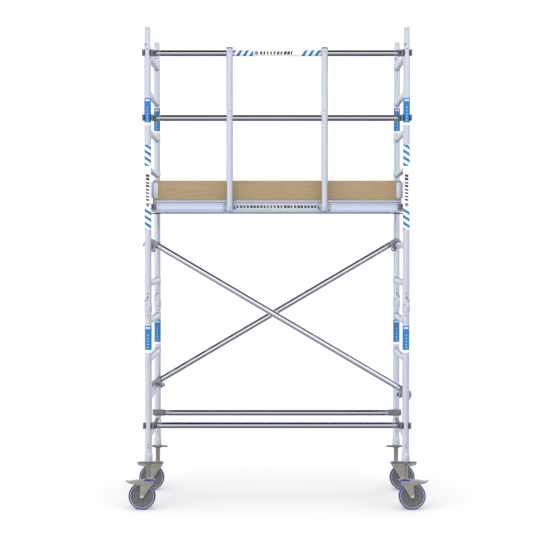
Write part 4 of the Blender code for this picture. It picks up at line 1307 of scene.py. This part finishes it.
def axle_mesh():
    """The axle bolt with a hexagon head, a nut, washers, and the pedal's two pivot pins."""
    x, z = WHEEL_TRAIL, WHEEL_R
    parts = [cross_rod(x, z, -0.04, 0.04, 0.0058, 0.0006, 20)]
    for way in (-1, 1):
        parts.append(cross_rod(x, z, way * 0.0331, way * 0.0352, 0.0125, 0.0004, 32))
        parts.append(cross_rod(x, z, way * 0.035, way * 0.0425, 0.0105, 0.001, 6))
        parts.append(cross_rod(x, z, way * 0.042, way * 0.047, 0.0058, 0.001, 20))
        parts.append(cross_rod(PEDAL_PIVOT_U, PEDAL_PIVOT_Z, way * 0.031, way * 0.0408, 0.0034, 0.0006, 18))
    return joined(parts)


def tyre_mesh():
    """The blue tread about Y through the origin, crowned, with a soft shoulder."""
    tread = [(WHEEL_R - 0.0008 * (t / 4) ** 2, 0.017 * t / 4) for t in range(-4, 5)]
    shoulder = arc(0.0062, 75, 0, 5, (0.0178, WHEEL_R - 0.0075))
    side = [(radius, y) for y, radius in shoulder] + [(0.09, 0.024), (0.0892, 0.0215)]
    return lathe([*tread, *side, (0.0884, 0.0), *mirrored(side)], WHEEL_SIDES, ABOUT_X)


def wheel_centre_mesh():
    """The moulded centre about Y: a dished web with eight ribs, a rim and a hub."""
    half = [
        (0.0066, 0.0275), (0.0185, 0.0275), (0.02, 0.0262), (0.0212, 0.018), (0.025, 0.0118), (0.04, 0.0098),
        (0.072, 0.0112), (0.08, 0.015), (0.0828, 0.0178), (0.086, 0.019),
    ]
    parts = [lathe(half + mirrored(half), WHEEL_SIDES, ABOUT_X)]
    for number in range(8):
        rib = slab((0.018, -0.0135, -0.0016), (0.081, 0.0135, 0.0016))
        parts.append(moved(rib, Matrix.Rotation(math.radians(45 * number), 4, "Y")))
    parts.append(hollow_tube((0, -0.0278, 0), (0, 0.0278, 0), 0.0105, 0.0064, 32))
    return joined(parts)


def rim_ring_mesh():
    half = [(0.0856, 0.0205), (0.0862, 0.0216), (0.0886, 0.0222), (0.0897, 0.0214)]
    return lathe(half + mirrored(half), WHEEL_SIDES, ABOUT_X)


def pedal_section(u):
    """The pedal plate's half width and height at a distance u outboard, narrower and upturned at its toe."""
    taper, tip = max(0.0, (u - 0.11) / 0.0555), max(0.0, (u - 0.156) / 0.0095)
    slope, upturn = max(0.0, u - 0.085), max(0.0, u - 0.148)
    return 0.0388 - 0.009 * taper**2 - 0.012 * tip**2, 0.2159 - 0.15 * slope + 42 * upturn**2


def pedal_plate():
    """The pedal's plate with rolled edges, and a window round the swivel head."""
    shape = bmesh.new()
    columns, rows = 52, 20
    grid = []
    for i in range(columns + 1):
        u = PEDAL_START + PEDAL_LENGTH * i / columns
        half, height = pedal_section(u)
        line = []
        for j in range(rows + 1):
            y = half * math.sin((2 * j / rows - 1) * math.pi / 2)
            edge = max(0.0, abs(y) / half - 0.9) / 0.1
            line.append(shape.verts.new((u, y, height - 0.0022 * edge**2)))
        grid.append(line)
    for i in range(columns):
        middle_u = PEDAL_START + PEDAL_LENGTH * (i + 0.5) / columns
        for j in range(rows):
            middle_y = (grid[i][j].co.y + grid[i][j + 1].co.y) / 2
            if abs(middle_u) >= 0.031 or abs(middle_y) >= 0.0285:
                shape.faces.new((grid[i][j], grid[i + 1][j], grid[i + 1][j + 1], grid[i][j + 1]))
    loose = [vertex for vertex in shape.verts if not vertex.link_faces]
    bmesh.ops.delete(shape, geom=loose, context="VERTS")
    bmesh.ops.solidify(shape, geom=shape.faces[:], thickness=0.0022)
    return finished(shape, 40)


def pedal_mesh():
    """The rocker pedal, with u along +X from the swivel axis: its plate, two skirts and the brake shoe."""
    skirt = [
        (-0.04, 0.215), (-0.04, 0.204), (0.0, 0.19), (0.03, 0.184), (0.06, 0.181), (0.104, 0.19),
        (0.15, 0.202), (0.15, 0.2058), (0.085, 0.215),
    ]
    hole = arc(0.0041, 0, 345, 23, (PEDAL_PIVOT_U, PEDAL_PIVOT_Z))
    skirts = [side_plate(rounded(skirt, 0.006), y, 0.0026, 0.0006, [hole]) for y in (-0.0377, 0.0377)]
    shoe = slab((0.06, -0.014, 0.2087), (0.078, 0.014, 0.215))
    return joined([pedal_plate(), *skirts, shoe])


def release_mesh():
    """The blue plastic cover on the pedal's inner end, open round the swivel head."""
    outline = rounded(rectangle(-0.046, -0.0385, 0.038, 0.0385), 0.007, 5)
    window = rounded(rectangle(-0.031, -0.029, 0.031, 0.029), 0.006, 5)
    parts = [plate(outline, 0.0046, at(0, 0, 0.2192), 0.0018, [window])]
    parts += [slab((u, -0.03, 0.22), (u + 0.0014, 0.03, 0.2226), 0.0005) for u in (-0.0425, -0.0395, -0.0365)]
    return joined(parts)


def castors():
    """The four castors, each of nine pieces."""
    # A piece's name, mesh, finish, slot, CAD node and body, and the place that it is built about
    parts = [
        ("spindle_{}", spindle_mesh(), ZINC, "zinc_steel", "castor_leg_{}", "leg_{}", "leg"),
        ("wing_nut_{}", nut_mesh(), DARK_ZINC, "cast_nut", "adjusting_nut_{}", "nut_{}", "nut"),
        ("fork_{}_plates", fork_mesh(), ZINC, "zinc_steel", "castor_fork_{}", "fork_{}", "swivel"),
        ("fork_{}_axle", axle_mesh(), BRIGHT_ZINC, "zinc_steel", "", "fork_{}", "swivel"),
        ("tyre_{}", tyre_mesh(), TYRE, "wheel", "castor_wheel_{}", "wheel_{}", "hub"),
        ("wheel_centre_{}", wheel_centre_mesh(), WHEEL_PLASTIC, "wheel", "", "wheel_{}", "hub"),
        ("rim_ring_{}", rim_ring_mesh(), RIM_PLASTIC, "wheel", "", "wheel_{}", "hub"),
        ("pedal_{}_plate", pedal_mesh(), ZINC, "pedal_steel", "brake_pedal_{}", "pedal_{}", "swivel"),
        ("pedal_{}_release", release_mesh(), PEDAL_BLUE, "pedal_steel", "", "pedal_{}", "swivel"),
    ]
    for corner in CORNERS:
        x, y, _ = JOINTS[f"swivel_{corner}"]["pos_m"]
        places = {
            "leg": at(x, y, 0),
            "nut": at(x, y, NUT_BOTTOM),
            "swivel": at(x, y, 0) @ Matrix.Rotation(0 if x > 0 else math.pi, 4, "Z"),
            "hub": Matrix.Translation(JOINTS[f"wheel_spin_{corner}"]["pos_m"]),
        }
        for name, mesh, finish, slot, node, body, where in parts:
            name, node, body = (text.format(corner) for text in (name, node, body))
            piece(name, mesh.copy(), finish, slot, node, body, places[where])


# Stage


def stage():
    """A pale floor that doesn't show in reflections."""
    shape = bmesh.new()
    bmesh.ops.create_grid(shape, x_segments=1, y_segments=1, size=60)
    mesh = as_mesh(shape)
    mesh.materials.append(Finish("pale_floor", (0.9, 0.9, 0.9), 0.85).material)
    floor = bpy.data.objects.new("floor", mesh)
    floor.location = (0, 0, -0.0005)
    floor.visible_glossy = False
    bpy.context.scene.collection.objects.link(floor)


def world():
    """A band of light round the horizon, darker overhead, underfoot and to both sides, as in a light tent.
    The camera itself sees plain white."""
    made = bpy.data.worlds.new("light_tent")
    made.use_nodes = True
    tree = made.node_tree
    tree.nodes.clear()
    way = add_node(tree, "ShaderNodeTexCoord").outputs["Generated"]
    up = (-math.sin(TENT_LEAN), 0, math.cos(TENT_LEAN))
    lean = add_node(tree, "ShaderNodeVectorMath", {0: way, 1: up}, operation="DOT_PRODUCT").outputs["Value"]
    height = add_node(tree, "ShaderNodeMapRange", {"Value": lean, "From Min": -1, "From Max": 1})
    ramp = add_node(tree, "ShaderNodeValToRGB", {"Fac": height.outputs["Result"]})
    while len(ramp.color_ramp.elements) < len(TENT_STOPS):
        ramp.color_ramp.elements.new(0.5)
    for element, (position, level) in zip(ramp.color_ramp.elements, TENT_STOPS):
        element.position = position
        element.color = (level, level, level * 1.02, 1)
    x = add_node(tree, "ShaderNodeSeparateXYZ", {"Vector": way}).outputs["X"]
    away = add_node(tree, "ShaderNodeMath", {0: x}, operation="ABSOLUTE").outputs["Value"]
    reach = {"Value": away, "From Min": 0.45, "From Max": 0.95, "To Min": 1.0, "To Max": SIDE_LIGHT}
    sides = add_node(tree, "ShaderNodeMapRange", reach, interpolation_type="SMOOTHSTEP").outputs["Result"]
    inputs = {0: ramp.outputs["Color"], "Scale": sides}
    tint = add_node(tree, "ShaderNodeVectorMath", inputs, operation="SCALE").outputs["Vector"]
    camera_ray = add_node(tree, "ShaderNodeLightPath").outputs["Is Camera Ray"]
    inputs = {0: camera_ray, 6: tint, 7: (1.0, 1.0, 1.0, 1)}
    seen = add_node(tree, "ShaderNodeMix", inputs, data_type="RGBA").outputs[2]
    background = add_node(tree, "ShaderNodeBackground", {"Color": seen, "Strength": TENT_STRENGTH})
    add_node(tree, "ShaderNodeOutputWorld", {"Surface": background.outputs["Background"]})
    bpy.context.scene.world = made


def lamp(name, kind, power, rotation, place=(0, 0, 0), **settings):
    """A lamp that doesn't show in reflections."""
    data = bpy.data.lights.new(name, kind)
    data.energy = power
    for setting, value in settings.items():
        setattr(data, setting, value)
    light = bpy.data.objects.new(name, data)
    light.location = place
    light.rotation_euler = rotation
    light.visible_glossy = False
    bpy.context.scene.collection.objects.link(light)


def lights_and_camera():
    """A very wide lamp overhead that lights the floor evenly, a soft one in front, and the photo's camera."""
    lamp("overhead", "SUN", SUN_POWER, (math.radians(18), math.radians(-8), 0), angle=math.radians(100))
    aim = (Vector(FRONT_LAMP_TARGET) - Vector(FRONT_LAMP_PLACE)).to_track_quat("-Z", "Y").to_euler()
    lamp("front", "AREA", FRONT_LAMP_POWER, aim, FRONT_LAMP_PLACE, shape="RECTANGLE", size=6.0, size_y=4.0)
    data = bpy.data.cameras.new("camera")
    data.lens = CAMERA_LENS
    data.sensor_width = 36.0
    data.clip_end = 200.0
    camera = bpy.data.objects.new("camera", data)
    camera.location = CAMERA_PLACE
    camera.rotation_euler = (CAMERA_TILT, 0, 0)
    bpy.context.scene.collection.objects.link(camera)
    bpy.context.scene.camera = camera
    bpy.context.scene.view_settings.view_transform = "Standard"


def main():
    lower, upper = RUNG_HEIGHTS[:LOWER_RUNGS], RUNG_HEIGHTS[LOWER_RUNGS:]
    for side in SIDES:
        ladder_frame("lower", side, LOWER_BOTTOM, LOWER_SHOULDER, lower)
        ladder_frame("upper", side, UPPER_BOTTOM, UPPER_SHOULDER, upper)
        stanchion(side)
        platform_end(side)
    for corner in CORNERS:
        frame_pin(corner)
    rails_and_braces()
    for end in ENDS:
        beam(end)
    beam_label()
    deck()
    trapdoor()
    for end in ENDS:
        toe_board(f"toe_board_{end}", "Y", "X")
    for side in SIDES:
        toe_board(f"toe_board_{side}", "X", "Y")
    toe_board_holders()
    castors()
    labels()
    stage()
    world()
    lights_and_camera()


main()
